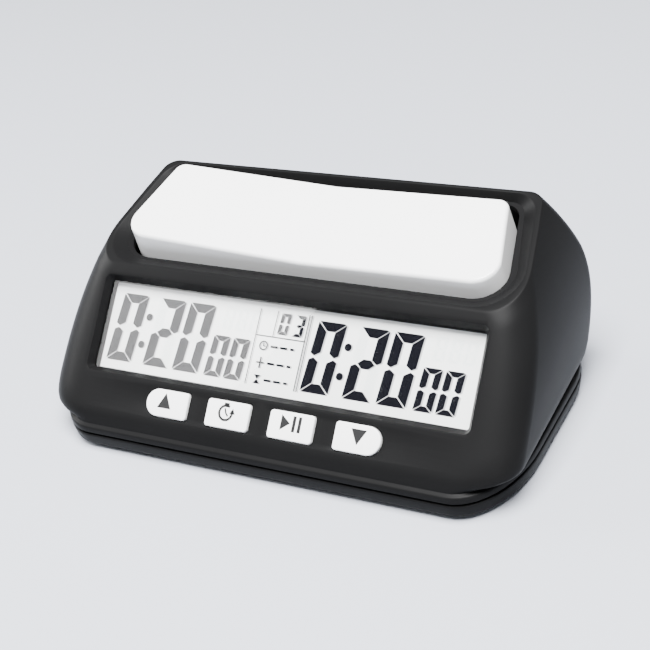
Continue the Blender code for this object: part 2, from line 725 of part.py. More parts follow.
def plungers():
    """Each half of the rocker pushes a sprung rod down onto its microswitch."""
    for side, word in ((-1, "left"), (1, "right")):
        top = leg_under(side) - GAP
        place = (side * SWITCH_X, SWITCH_S, top)
        plunger = finish("plunger_" + word, rod(4.0, -1.2, 0.0), LOOK["inner"], DECK, place)
        stem = rod(PLUNGER_RADIUS, -11.3, -0.5, sides=16)
        boolean(plunger, finish("add_rod_" + word, stem, parent=DECK, at=place), "UNION")
        spring = coil("plunger_spring_" + word, 3.0, 0.3, CARRIER_TOP + 0.6, top - 1.2 - 0.6, 4)
        spring.parent = DECK
        spring.location = Vector((side * SWITCH_X, SWITCH_S, 0)) * MM


def leg_under(side):
    """Lowest height of a rocker leg at rest, in the deck's frame."""
    tilt = math.radians(ROCKER_TILT)
    heights = []
    for x in (side * SWITCH_X - 3, side * SWITCH_X + 3):
        heights.append(PIVOT - x * math.sin(tilt) + (LEG_BOTTOM - PIVOT) * math.cos(tilt))
    return min(heights)


def coil(name, radius, wire_radius, low, high, turns):
    """Helical compression spring along local Z."""
    curve = bpy.data.curves.new(name, "CURVE")
    curve.dimensions = "3D"
    curve.bevel_depth = wire_radius * MM
    curve.bevel_resolution = 1
    curve.use_fill_caps = True
    spline = curve.splines.new("POLY")
    steps = 12 * turns
    spline.points.add(steps)
    for k, point in enumerate(spline.points):
        angle = 2 * math.pi * k / 12
        height = low + (high - low) * k / steps
        point.co = (radius * math.cos(angle) * MM, radius * math.sin(angle) * MM, height * MM, 1.0)
    made = bpy.data.objects.new(name, curve)
    curve.materials.append(LOOK["steel"])
    PARTS.objects.link(made)
    return made


def detent_spring():
    """Bowed leaf that presses on the hub, so that the rocker stays where it is put."""
    nose = LEG_BOTTOM - 1.2
    reach, thick, half_width_of_leaf = LEAF
    foot = CARRIER_TOP + GAP + thick
    steps = 12
    upper = []
    for k in range(steps + 1):
        x = -reach + 2 * reach * k / steps
        upper.append((x, foot + (nose - foot) * (0.5 + 0.5 * math.cos(math.pi * x / reach))))
    outline = upper + [(x, z - thick) for x, z in reversed(upper)]
    leaf = plate(outline, -half_width_of_leaf, half_width_of_leaf)
    finish("detent_spring", leaf, LOOK["steel"], DECK, (0, SWITCH_S, 0), (90, 0, 0))


def switch_board():
    top, thick = SWITCH_BOARD
    low = top - thick
    across, along = SWITCH_BOARD_HALF
    body = block((-across, SWITCH_S - along, low), (across, SWITCH_S + along, top))
    board = finish("switch_board", body, LOOK["board"], DECK)
    half_x, half_s, height = SWITCH_BODY
    for side, word in ((-1, "left"), (1, "right")):
        hole = rod(SMALL_THREAD, low - 5, top + 5, side * SWITCH_POST, SWITCH_S, 12)
        boolean(board, finish("cut_board_hole_" + word, hole, parent=DECK))
        x = side * SWITCH_X
        body = block((x - half_x, SWITCH_S - half_s, top + GAP),
                     (x + half_x, SWITCH_S + half_s, top + height))
        switch = finish("microswitch_" + word, body, LOOK["switch"], DECK)
        nub = block((x - 1, SWITCH_S - 1, top + height - 0.8), (x + 1, SWITCH_S + 1, top + height + 0.6))
        boolean(switch, finish("add_nub_" + word, nub, parent=DECK), "UNION")
        place = (side * SWITCH_POST, SWITCH_S, 0)
        small_screw("switch_board_screw_" + word, low, top + 7.0, DECK, place)


# ---------------------------------------------------------------- display and keys

def key_outline(style, grow=0.0):
    """Rounded rectangle, or a D whose round end is on the left or the right."""
    across, along = KEY_HALF[0] + grow, KEY_HALF[1] + grow
    corners = ((-across, -along), (across, -along), (across, along), (-across, along))
    round_end = along - 0.05
    small = KEY_RADIUS + grow
    radii = {"box": [small] * 4, "left": [round_end, small, small, round_end],
             "right": [small, round_end, round_end, small]}[style]
    return rounded(corners, radii, 5)


def keys():
    flange_top = -WALL - GAP
    stem_end = -4.9
    for number, (name, x, style) in enumerate(KEYS, 1):
        cap = plate(key_outline(style), flange_top - 0.6, KEY_PROUD)
        key = finish(name, cap, LOOK["key"], FACE, (x, KEY_S, 0))
        rim = plate(key_outline(style, 0.6), flange_top - 0.6, flange_top)
        boolean(key, finish("add_rim_" + name, rim, parent=FACE, at=(x, KEY_S, 0)), "UNION")
        stem = rod(1.6, stem_end, flange_top - 0.5, sides=14)
        boolean(key, finish("add_stem_" + name, stem, parent=FACE, at=(x, KEY_S, 0)), "UNION")
        body = block((-3, -3, GAP - BOARD_DEPTH), (3, 3, -6.2))
        switch = finish("tact_switch_%d" % number, body, LOOK["switch"], FACE, (x, KEY_S, 0))
        pocket = rod(1.7 + GAP, -7.8, -6.0, sides=16)
        boolean(switch, finish("cut_pocket_%d" % number, pocket, parent=FACE, at=(x, KEY_S, 0)))
        stem = rod(1.7, -6.7, stem_end - GAP, sides=16)
        finish("tact_stem_%d" % number, stem, LOOK["button_stem"], FACE, (x, KEY_S, 0))


def display():
    middle = (0, WINDOW_S)
    pane = plate(rounded_box(63.2, 14.2, 1.5, middle), -3.7, -WALL - GAP)
    finish("display_window", pane, LOOK["window"], FACE)
    frame_top, frame_low = -4.0, GAP - BOARD_DEPTH
    holder = finish("display_frame", plate(rounded_box(64.4, 15.5, 3.0, middle), frame_low, frame_top),
                    LOOK["inner"], FACE)
    boolean(holder, finish("cut_view", plate(rounded_box(62.3, 13.4, 0.6, middle), -20, 2), parent=FACE))
    pocket = plate(rounded_box(63.4, 14.6, 1.6, middle), -20, frame_top - 0.7)
    boolean(holder, finish("cut_glass_pocket", pocket, parent=FACE))
    finish("lcd_glass", plate(rounded_box(63.1, 14.3, 1.5, middle), -7.1, -5.0), LOOK["glass"], FACE)
    finish("lcd_reflector", plate(rounded_box(61.5, 11.4, 0.3, middle), -7.9, -7.4), LOOK["reflector"], FACE)
    for side, word in ((-1, "lower"), (1, "upper")):
        s = WINDOW_S + side * 13.2
        strip = block((-62, s - 1.2, frame_low), (62, s + 1.2, -7.4))
        finish("zebra_strip_" + word, strip, LOOK["zebra"], FACE)


def main_board():
    low, high = -BOARD_DEPTH - BOARD_THICKNESS, -BOARD_DEPTH
    half, front, rear = MAIN_BOARD
    board = finish("main_board", block((-half, front, low), (half, rear, high)), LOOK["board"], FACE)
    for side, word in ((-1, "left"), (1, "right")):
        x, s = side * BOARD_POST[0], BOARD_POST[1]
        boolean(board, finish("cut_main_hole_" + word, rod(SMALL_THREAD, -30, 0, x, s, 12), parent=FACE))
        small_screw("board_screw_" + word, low, -5.0, FACE, (x, s, 0))
    chip = finish("controller_chip", rod(6.0, low - 2.0, low - GAP, 0, 28, 28, 6.0), LOOK["epoxy"], FACE)
    bevel(chip, 0.9, 3)
    crystal = finish("clock_crystal", rod(1.5, -4, 4, sides=16), LOOK["steel"], FACE,
                     (16, 28, low - GAP - 1.5), (0, 90, 0))
    bevel(crystal, 0.3)
    can = rod(3.1, low - GAP - 8.0, low - GAP, -20, 24)
    capacitor = finish("capacitor", can, LOOK["capacitor"], FACE)
    bevel(capacitor, 0.4)


def buzzer():
    """Piezo sounder: a brass disc over the sound holes."""
    floor = BASE_BOTTOM + BASE_FLOOR + GAP
    disc = finish("buzzer", rod(BUZZER_RADIUS, floor, floor + 3.0, sides=32), LOOK["brass"], at=(*BUZZER, 0))
    bevel(disc, 0.5)


# ---------------------------------------------------------------- battery

def turned(name, profile, look, at, turn):
    """Solid of revolution about local Z from an (r, z) profile that runs from top to bottom."""
    bm = bmesh.new()
    verts = [bm.verts.new((radius, 0, z)) for radius, z in profile]
    for first, second in zip(verts, verts[1:]):
        bm.edges.new((first, second))
    made = finish(name, bm, look, None, at, turn)
    screw_modifier = made.modifiers.new("Screw", "SCREW")
    screw_modifier.steps = 24
    screw_modifier.render_steps = 24
    screw_modifier.use_merge_vertices = True
    screw_modifier.merge_threshold = 0.00001
    screw_modifier.use_normal_calculate = False
    return made


def battery():
    half = CELL_LENGTH / 2
    profile = ((0, half), (2.6, half), (2.7, half - 1.2), (6.6, half - 1.4), (CELL_RADIUS, half - 1.9),
               (CELL_RADIUS, 0.4 - half), (6.7, -half), (0, -half))
    turned("aa_cell", profile, LOOK["cell"], (0, CELL_Y, CELL_Z), (0, 90, 0))
    wall = half + 4.0 - GAP
    plate_bm = block((wall - 0.5, CELL_Y - 5, CELL_Z - 5), (wall, CELL_Y + 5, CELL_Z + 3.2))
    contact = finish("contact_plate", plate_bm, LOOK["steel"])
    dimple = rod(2.2, half + GAP, wall - 0.3, sides=16)
    boolean(contact, finish("add_dimple", dimple, at=(0, CELL_Y, CELL_Z), turn=(0, 90, 0)), "UNION")
    spring = coil("contact_spring", 3.2, 0.4, -wall + 0.4, -half - 0.8, 3)
    spring.rotation_euler = (0, math.radians(90), 0)
    spring.location = Vector((0, CELL_Y, CELL_Z)) * MM
    leads()


def face_world(x, s, out):
    """World place, in millimetres, of a point in the front face's frame."""
    tilt = math.radians(FACE_ANGLE)
    y = FACE_Y + s * math.cos(tilt) - out * math.sin(tilt)
    z = FACE_Z + s * math.sin(tilt) + out * math.cos(tilt)
    return (x, y, z)


def leads():
    """Insulated wires from the cell contacts and the buzzer to pads on the back of the board."""
    back = -BOARD_DEPTH - BOARD_THICKNESS - 1.0
    end = CELL_LENGTH / 2 + 4.0 - GAP
    wire("lead_positive", [(end - 0.25, CELL_Y, CELL_Z + 4.4), (end - 0.3, CELL_Y - 3, CELL_Z + 5.2),
                           (27, CELL_Y - 11, 14), (23, 2, 12.5), (20, -10, 12), face_world(18, 17, back)],
         0.6, LOOK["red"])
    wire("lead_negative", [(0.6 - end, CELL_Y, CELL_Z + 4.6), (0.5 - end, CELL_Y - 3, CELL_Z + 4.9),
                           (-25, CELL_Y - 11, 14), (-16, 2, 12.5), (-9, -10, 12), face_world(-6, 16, back)],
         0.6, LOOK["black"])
    x, y = BUZZER
    for name, shift in (("lead_buzzer_a", -1.2), ("lead_buzzer_b", 1.2)):
        wire(name, [(x + 3 + shift, y - 3, 7.4), (x + 6 + shift, y - 8, 10), (x + 12 + shift, y - 16, 12),
                    face_world(x + 14 + shift, 14, back)], 0.45, LOOK["red" if shift < 0 else "black"])


# ---------------------------------------------------------------- build

clear_scene()
PARTS = collection(NAME)
CUTTERS = collection(NAME + "_cutters")
FACE = frame("face_frame", (0, FACE_Y, FACE_Z), (FACE_ANGLE, 0, 0))
DECK = frame("deck_frame", (0, DECK_Y, DECK_Z), (DECK_ANGLE, 0, 0))
ROCKER = frame("rocker_axis", (0, 0, PIVOT), (0, ROCKER_TILT, 0), DECK)
LOOK = {
    "case": material("case_black", (0.022, 0.022, 0.023), 0.42),
    "base": material("base_black", (0.02, 0.02, 0.021), 0.48),
    "rocker": material("rocker_white", (0.86, 0.86, 0.86), 0.2),
    "key": material("key_white", (0.82, 0.82, 0.82), 0.3),
    "inner": material("inner_black", (0.03, 0.03, 0.03), 0.55),
    "rubber": material("foot_rubber", (0.03, 0.03, 0.03), 0.85),
    "steel": material("bright_steel", (0.62, 0.62, 0.62), 0.3, 1.0),
    "screw": material("screw_steel", (0.35, 0.35, 0.36), 0.35, 1.0),
    "brass": material("buzzer_brass", (0.72, 0.53, 0.22), 0.35, 1.0),
    "board": material("board_green", (0.02, 0.16, 0.07), 0.45),
    "switch": material("switch_black", (0.02, 0.02, 0.02), 0.5),
    "button_stem": material("stem_brown", (0.12, 0.06, 0.03), 0.5),
    "window": material("window_clear", (0.95, 0.96, 0.96), 0.05, 0.0, 0.2),
    "glass": material("lcd_glass", (0.78, 0.8, 0.77), 0.12),
    "reflector": material("lcd_reflector", (0.8, 0.8, 0.78), 0.4),
    "zebra": material("zebra_rubber", (0.1, 0.1, 0.11), 0.8),
    "epoxy": material("epoxy_black", (0.015, 0.015, 0.015), 0.25),
    "capacitor": material("capacitor_sleeve", (0.03, 0.04, 0.12), 0.4),
    "cell": material("cell_jacket", (0.12, 0.32, 0.2), 0.35),
    "red": material("lead_red", (0.5, 0.03, 0.02), 0.45),
    "black": material("lead_black", (0.02, 0.02, 0.02), 0.45),
}
upper_housing()
lower_housing()
feet()
case_screws()
battery_door()
rocker_bar()
rocker_pin()
rocker_carrier()
plungers()
detent_spring()
switch_board()
keys()
display()
main_board()
buzzer()
battery()
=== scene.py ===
"""Digital chess clock: the finished surfaces of the CAD frame, laid out as a Blender add-on.

Lengths in the settings are metres; the measures of the shapes below are millimetres, and MM turns
them into metres. Shapes are drawn in three working frames: the base (the world), the sloping front
face (x, up the slope, out of the face) and the sloping top deck (x, to the back, out of the deck).
"""
import json
import math
import bmesh
import bpy
from mathutils import Matrix, Vector


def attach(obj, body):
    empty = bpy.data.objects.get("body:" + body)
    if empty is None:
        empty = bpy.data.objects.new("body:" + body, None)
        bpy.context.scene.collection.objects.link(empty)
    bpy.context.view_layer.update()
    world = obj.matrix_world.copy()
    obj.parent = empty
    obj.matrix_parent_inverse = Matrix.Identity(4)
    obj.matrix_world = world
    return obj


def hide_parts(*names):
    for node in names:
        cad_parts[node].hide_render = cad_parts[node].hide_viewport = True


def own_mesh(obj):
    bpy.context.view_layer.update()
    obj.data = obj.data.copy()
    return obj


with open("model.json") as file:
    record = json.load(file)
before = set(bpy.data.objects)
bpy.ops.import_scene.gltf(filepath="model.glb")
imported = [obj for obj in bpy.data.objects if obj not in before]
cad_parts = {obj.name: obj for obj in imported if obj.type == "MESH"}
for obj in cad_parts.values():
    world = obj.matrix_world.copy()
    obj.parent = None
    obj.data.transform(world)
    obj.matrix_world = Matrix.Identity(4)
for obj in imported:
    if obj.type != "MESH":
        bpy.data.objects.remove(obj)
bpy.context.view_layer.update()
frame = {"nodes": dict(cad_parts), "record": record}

bl_info = {
    "name": "Chess clock finish",
    "version": (1, 0, 0),
    "blender": (4, 5, 0),
    "location": "3D View > Sidebar > Chess Clock",
    "description": "Builds the visible pieces, finishes and studio of a two-player chess clock",
    "category": "Object",
}

MM = 0.001
ARC_STEPS = 12
GAP = 0.3
WALL = 2.2

BASE_FRONT = -42.2
BASE_REAR = 42.8
BASE_HALF = 76.7
BASE_WIDEN = 1.6
BASE_CORNER = (17.0, 27.4)
BASE_REAR_RADIUS = 28.2
BASE_BOTTOM = 1.2
BASE_FLOOR = 1.8
PARTING = 5.6
PARTING_GAP = 0.6
TONGUE_TOP = 8.2
TONGUE = 1.4
BASE_FOOT_PROFILE = ((0.0, 1.4), (0.15, 1.0), (0.5, 0.62), (1.2, 0.4))  # rise and inset
BASE_TOP_PROFILE = ((0.7, 0.04), (0.35, 0.04), (0.1, 0.14), (0.0, 0.4))  # fall and inset

CREASE = 9.0
LEDGE = 1.5
FOOT_TOP = 10.8
FACE_ANGLE = 43.4
FACE_Y = -41.9
FACE_Z = 10.0
FACE_HALF = 63.5
CORNER_FLAT = 60.5
ROLL_TOP = 13.8
FACE_CURL = 0.75  # how strongly the foot of the face rolls under
DECK_EASE = (42.0, 45.5)  # heights over which the corner eases towards the deck
DECK_ANGLE = 15.8
DECK_Y = -5.6
DECK_Z = 44.5
FLANK_HALF = 77.9
FLANK_HEIGHT = 13.5
FLANK_DROP = 13.4  # the flank draws in by this much over the next height
FLANK_RISE = 43.0
FLANK_POWER = 2.6
FLANK_UNDER = (8.9, 10.0)
CORNER_DEPTH = (12.6, 11.7)
BODY_REAR = 42.9
REAR_LEAN = 5.2
REAR_RADIUS = (22.2, 4.0)
REAR_RADIUS_TOP = 40.0
REAR_RADIUS_POWER = 1.5
REAR_POWER = 2.1
BODY_RISE = 49.0
CORNER_RISE = (11.0, 16.8)  # heights over which the front corner tightens

WELL_FRONT = 1.2
WELL_REAR = 44.1
WELL_HALF = (71.4, 63.0)
WELL_RADIUS = (13.0, 8.0)
LIP_DEPTH = 2.8
LIP_INSET = (4.0, 3.9, 1.2)
LIP_THICKNESS = 1.8
SKIN_LEVELS = [0.0, 0.02, 0.04, 0.06, 0.08, 0.1, 0.12, 0.14, 0.17, 0.2, 0.24, 0.28]
SKIN_LEVELS += [0.28 + 0.72 * k / 24 for k in range(1, 25)]
CAVITY_LEVELS = (0.0, 0.05, 0.1, 0.16, 0.3, 0.5, 0.7, 0.85, 0.94, 1.0)
FLANGE_PROFILE = ((0.0, 0.55), (0.12, 0.25), (0.4, 0.03), (1.0, 0.03), (1.7, 0.1),
                  (2.1, 0.22), (2.35, 0.5), (2.5, 0.85), (2.6, 1.2))  # rise and inset

ROCKER_FRONT = 7.4
ROCKER_REAR = 40.6
ROCKER_HALF = (63.8, 56.8)
ROCKER_RADIUS = (8.0, 4.5)
ROCKER_GAP = 1.2
ROCKER_TILT = 1.6
ROCKER_VALLEY = 2.7
ROCKER_TOP = 1.1
ROCKER_SKIRT = -8.2
ROCKER_WALL = 1.8
ROCKER_DRAFT = 1.2  # the rear wall leans in by this much more at the skirt
ROCKER_EDGE = (1.5, 0.9, 1.9)  # height of the rounding, and its inset at the side and at the top
PIVOT = -7.0
PIN_RADIUS = 1.3
PIN_FRONT = 9.8
HUB = ((-4.0, 14.5, -3.0), (4.0, 34.1, 5.0))
LEG = (45.0, 24.0, 3.0, -2.6)  # x, place along the deck, half width, lowest height

SPRING_RADIUS = 3.0
SPRING_WIRE = 0.3
SPRING_FOOT = -16.4
SPRINGS = (("left", -1, -10.53), ("right", 1, -13.04))  # side, sign, height of the upper end

WINDOW_S = 31.6
WINDOW_OUTER = (63.9, 15.1)
WINDOW_INNER = (62.0, 13.1)
WINDOW_RADIUS = (2.0, 0.6)  # of the outer and the inner outline
GLASS_TOP = -5.0
PRINT_ROOT = 0.05  # printed marks reach this far into what carries them
SHADOW_SHIFT = (0.45, -0.12)  # painted shadow: a pale grey copy of the figures, shifted by this much on the backing
KEY_S = 10.2
KEY_HALF = (7.2, 4.1)
KEY_RADIUS = 1.0
KEY_PROUD = 0.6
KEY_RIM = 0.6  # width and thickness of the rim that holds a key in
KEY_STEM = (1.6, -4.9)  # radius and lower end
KEYS = (("key_up", -31.8, "left"), ("key_reset", -10.6, "box"),
        ("key_play_pause", 10.6, "box"), ("key_down", 31.8, "right"))

FRONT_POST = (68.5, -18.0)
REAR_POST = (63.0, 27.0)
REAR_POST_TOP = 36.0
RIB_END = 82.0  # past the skin, so that the rib joins it
POST_RADIUS = 3.3
BOSS_RADIUS = 3.9
EAR_RADIUS = 2.8
BOARD_POST_RADIUS = 2.5
THREAD = 1.6  # radius of the hole for a case screw
SMALL_THREAD = 1.3
HEAD_POCKET = (3.0, 4.6)  # radius and top of the pocket for a screw's head
EAR = (69.6, 14.0)
BOARD_POST = (50.0, 9.5)
CARRIER_TOP = -17.0
BOARD_DEPTH = 9.7
FEET = ((60.0, -27.0), (45.0, 28.0))
FOOT_RADIUS = 5.5
BUZZER = (-48.0, 6.0)
SOUND_CIRCLE = 4.5
SOUND_HOLE = 1.0
CELL_Y = 24.0
CELL_Z = 10.4
CELL_REACH = 29.0
CELL_WALL = 1.6
DOOR_HALF = 25.5
DOOR_FRONT = 14.8
DOOR_FLANGE = 1.7
DOOR_THICKNESS = 1.6

WORLD = Matrix.Identity(4)
FACE = Matrix.Translation((0, FACE_Y, FACE_Z)) @ Matrix.Rotation(math.radians(FACE_ANGLE), 4, "X")
DECK = Matrix.Translation((0, DECK_Y, DECK_Z)) @ Matrix.Rotation(math.radians(DECK_ANGLE), 4, "X")
ROCKER = DECK @ Matrix.Translation((0, 0, PIVOT)) @ Matrix.Rotation(math.radians(ROCKER_TILT), 4, "Y")


# ---------------------------------------------------------------- mesh helpers

def solid(name, bm, place=WORLD):
    """Object made from a bmesh drawn in millimetres in one of the working frames."""
    bm.transform(Matrix.Scale(MM, 4) @ place)
    bmesh.ops.recalc_face_normals(bm, faces=bm.faces)
    mesh = bpy.data.meshes.new(name)
    bm.to_mesh(mesh)
    bm.free()
    made = bpy.data.objects.new(name, mesh)
    bpy.context.scene.collection.objects.link(made)
    return made


def carve(target, tool, operation="DIFFERENCE"):
    """Applies one Boolean and removes the tool."""
    modifier = target.modifiers.new("carve", "BOOLEAN")
    modifier.object = tool
    modifier.operation = operation
    modifier.solver = "EXACT"
    shape = bpy.context.evaluated_depsgraph_get()
    mesh = bpy.data.meshes.new_from_object(target.evaluated_get(shape))
    target.modifiers.clear()
    old = target.data
    target.data = mesh
    bpy.data.meshes.remove(old)
    old = tool.data
    bpy.data.objects.remove(tool)
    bpy.data.meshes.remove(old)


def polish(made, look, body, replaced=(), sharp=32.0):
    """Smooth shading with crisp edges, a finish, and a body of the frame to ride on."""
    made.data.shade_smooth()
    made.data.set_sharp_from_angle(angle=math.radians(sharp))
    made.data.materials.clear()
    made.data.materials.append(look)
    for face in made.data.polygons:
        face.material_index = 0
    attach(made, body)
    if replaced:
        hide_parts(*replaced)
    return made


def box(low, high):
    bm = bmesh.new()
    size = [b - a for a, b in zip(low, high)]
    middle = [(a + b) / 2 for a, b in zip(low, high)]
    bmesh.ops.create_cube(bm, size=1.0, matrix=Matrix.Translation(middle) @ Matrix.Diagonal((*size, 1.0)))
    return bm


def rod(radius, low, high, x=0.0, y=0.0, sides=32):
    bm = bmesh.new()
    bmesh.ops.create_cone(bm, cap_ends=True, segments=sides, radius1=radius, radius2=radius,
                          depth=high - low, matrix=Matrix.Translation((x, y, (low + high) / 2)))
    return bm


def loft(rings, ends=True):
    """Skin over rings of equally many points."""
    bm = bmesh.new()
    rows = [[bm.verts.new(point) for point in ring] for ring in rings]
    for lower, upper in zip(rows, rows[1:]):
        for k in range(len(lower)):
            after = (k + 1) % len(lower)
            bm.faces.new((lower[k], lower[after], upper[after], upper[k]))
    if ends:
        bm.faces.new(rows[0][::-1])
        bm.faces.new(rows[-1])
    return bm


def level(outline, z):
    return [(x, y, z) for x, y in outline]


def plate(outline, low, high):
    return loft([level(outline, low), level(outline, high)])


def mirrored(half):
    return half + [(-point[0], *point[1:]) for point in half[-2:0:-1]]


def arc(centre, radii, start, end, steps=ARC_STEPS):
    angles = [math.radians(start + (end - start) * k / steps) for k in range(steps + 1)]
    return [(centre[0] + radii[0] * math.cos(a), centre[1] + radii[1] * math.sin(a)) for a in angles]


def rounded(corners, radii, steps=ARC_STEPS):
    """Outline of a polygon with its corners rounded by tangent arcs."""
    points = []
    for k, place in enumerate(corners):
        corner = Vector(place)
        before = (Vector(corners[k - 1]) - corner).normalized()
        after = (Vector(corners[(k + 1) % len(corners)]) - corner).normalized()
        half = before.angle(after) / 2
        centre = corner + (before + after).normalized() * (radii[k] / math.sin(half))
        start = corner + before * (radii[k] / math.tan(half)) - centre
        sweep = start.angle_signed(corner + after * (radii[k] / math.tan(half)) - centre)
        for step in range(steps + 1):
            points.append(tuple(centre + Matrix.Rotation(-sweep * step / steps, 2) @ start))
    return points


def rounded_box(half, radius, middle=(0.0, 0.0), grow=0.0, steps=6):
    across, along = half[0] + grow, half[1] + grow
    signs = ((-1, -1), (1, -1), (1, 1), (-1, 1))
    corners = [(middle[0] + i * across, middle[1] + j * along) for i, j in signs]
    return rounded(corners, [radius + grow] * 4, steps)


def trapezoid(front, rear, half, radii, inset):
    """Rounded trapezoid with a point on the middle line; inset is front, sides, rear."""
    front_in, side_in, rear_in = inset
    shrink = (front_in + rear_in) / 2
    corners = ((half[0] - side_in, front + front_in), (half[1] - side_in, rear - rear_in),
               (side_in - half[1], rear - rear_in), (side_in - half[0], front + front_in))
    turns = [max(radii[0] - shrink, 1.0), max(radii[1] - shrink, 1.0)]
    ring = rounded(corners, [turns[0], turns[1], turns[1], turns[0]])
    return mirrored([(0.0, front + front_in), *ring[:2 * (ARC_STEPS + 1)], (0.0, rear - rear_in)])


# ---------------------------------------------------------------- body shape

def ease(value, start, end):
    share = min(max((value - start) / (end - start), 0.0), 1.0)
    return share * share * (3 - 2 * share)


def half_width(z):
    """Half width of the upper body, by height."""
    if z >= FLANK_HEIGHT:
        return FLANK_HALF - FLANK_DROP * ((z - FLANK_HEIGHT) / FLANK_RISE) ** FLANK_POWER
    fall = min((FLANK_HEIGHT - z) / FLANK_UNDER[1], 0.98)
    return FLANK_HALF - FLANK_UNDER[0] * (1 - math.sqrt(1 - fall * fall))


def front_y(z):
    """Front of the upper body: the sloping face, rolled under at its foot."""
    slope = 1 / math.tan(math.radians(FACE_ANGLE))
    if z >= ROLL_TOP:
        return FACE_Y + (z - FACE_Z) * slope
    drop = ROLL_TOP - z
    curl = FACE_CURL * drop * drop / (ROLL_TOP - CREASE + 1.4)
    return FACE_Y + (ROLL_TOP - FACE_Z) * slope - slope * (drop - curl)


def base_plan(inset=0.0):
    """Right half of the base's outline, from the front middle to the rear middle."""
    half, front, rear = BASE_HALF - inset, BASE_FRONT + inset, BASE_REAR - inset
    across, along = (radius - inset for radius in BASE_CORNER)
    radius = BASE_REAR_RADIUS - inset
    points = [(0.0, front), (half / 2, front)]
    points += arc((half - across, front + along), (across, along), -90, 0)
    points += [(half, (front + along + rear - radius) / 2)]
    points += arc((half - radius, rear - radius), (radius, radius), 0, 90)
    points += [(0.0, rear)]
    return [(x * (1 + BASE_WIDEN / half * (y - front) / (rear - front)), y) for x, y in points]


def body_plan(z, inset=0.0):
    """Right half of the upper body's outline: it grows out of the base's outline."""
    below = 1 - ease(z, *CORNER_RISE)
    flat = FACE_HALF + (CORNER_FLAT - FACE_HALF) * max(below, ease(z, *DECK_EASE))
    depth = CORNER_DEPTH[1] + (CORNER_DEPTH[0] - CORNER_DEPTH[1]) * below
    half = half_width(z) - inset
    front = front_y(z) + inset / math.sin(math.radians(FACE_ANGLE))
    rear = BODY_REAR - REAR_LEAN * (max(z - CREASE, 0.0) / BODY_RISE) ** REAR_POWER - inset
    flat = min(flat, half - 3.0)
    depth = min(depth, (rear - front) / 2 - 1)
    left = min(max((REAR_RADIUS_TOP - z) / (REAR_RADIUS_TOP - CREASE), 0.0), 1.0) ** REAR_RADIUS_POWER
    radius = REAR_RADIUS[1] + (REAR_RADIUS[0] - REAR_RADIUS[1]) * left
    radius = max(min(radius, (rear - front) / 2 - 1) - inset, 1.0)
    free = [(0.0, front), (flat / 2, front)]
    free += arc((flat, front + depth), (half - flat, depth), -90, 0)
    free += [(half, (front + depth + rear - radius) / 2)]
    free += arc((half - radius, rear - radius), (radius, radius), 0, 90)
    free += [(0.0, rear)]
    share = ease(z, CREASE, FOOT_TOP)
    return [tuple(Vector(a).lerp(Vector(b), share)) for a, b in zip(base_plan(inset + LEDGE), free)]


def deck_height(y, drop):
    tilt = math.radians(DECK_ANGLE)
    return DECK_Z + (y - DECK_Y) * math.tan(tilt) - drop / math.cos(tilt)


def column_tops(inset, drop):
    """Heights at which the columns of the skin meet a plane under the deck."""
    count = len(body_plan(CREASE))
    low, high = [CREASE] * count, [70.0] * count
    for _ in range(26):
        for k in range(count):
            middle = (low[k] + high[k]) / 2
            if middle < deck_height(body_plan(middle, inset)[k][1], drop):
                low[k] = middle
            else:
                high[k] = middle
    return low


def body_rings(levels, inset=0.0, drop=0.0):
    """Rings of the upper body at fractions of the way from its crease to the deck."""
    tops = column_tops(inset, drop)
    rings = []
    for share in levels:
        heights = [CREASE + (top - CREASE) * share for top in tops]
        rings.append(mirrored([(*body_plan(z, inset)[k], z) for k, z in enumerate(heights)]))
    return rings


def base_ring(z, inset=0.0):
    return level(mirrored(base_plan(inset)), z)


def well(depth, grow=0.0):
    """Outline of the tapered well at one depth under the deck."""
    insets = [inset * depth / LIP_DEPTH - grow for inset in LIP_INSET]
    return trapezoid(WELL_FRONT, WELL_REAR, WELL_HALF, WELL_RADIUS, insets)


def well_cut(edge):
    """Solid that hollows out the well and rounds its rim."""
    rings = [level(well(LIP_DEPTH), -LIP_DEPTH - 0.01), level(well(edge), -edge)]
    rings += [level(well(edge * 0.3, edge * 0.25), -edge * 0.3), level(well(0.0, edge), 0.0)]
    return loft(rings + [level(well(0.0, edge + 1.5), 1.5)])


def posts():
    """Screw posts and bosses inside the upper housing: mesh and working frame."""
    made = []
    for x, y in screw_places():
        top = 60.0 if y < 0 else REAR_POST_TOP
        made.append((rod(POST_RADIUS, TONGUE_TOP + GAP, top, x, y, 24), WORLD))
    for side in (-1, 1):
        ends = sorted((side * (REAR_POST[0] + 2), side * RIB_END))
        rib = box((ends[0], REAR_POST[1] - 1, TONGUE_TOP + GAP), (ends[1], REAR_POST[1] + 1, REAR_POST_TOP))
        made.append((rib, WORLD))
        made.append((rod(EAR_RADIUS, CARRIER_TOP + GAP, 2.0, side * EAR[0], EAR[1], 24), DECK))
        board_post = rod(BOARD_POST_RADIUS, GAP - BOARD_DEPTH, 1.0, side * BOARD_POST[0], BOARD_POST[1], 24)
        made.append((board_post, FACE))
    return made


def screw_places():
    return [(side * x, y) for x, y in (FRONT_POST, REAR_POST) for side in (-1, 1)]


def key_outline(style, grow=0.0):
    """Rounded rectangle, or a D with its round end on the left or the right."""
    across, along = KEY_HALF[0] + grow, KEY_HALF[1] + grow
    big, small = along - 0.05, KEY_RADIUS + grow
    radii = {"box": [small] * 4, "left": [big, small, small, big], "right": [small, big, big, small]}
    corners = ((-across, -along), (across, -along), (across, along), (-across, along))
    return rounded(corners, radii[style])


def moved(outline, x, y):
    return [(px + x, py + y) for px, py in outline]


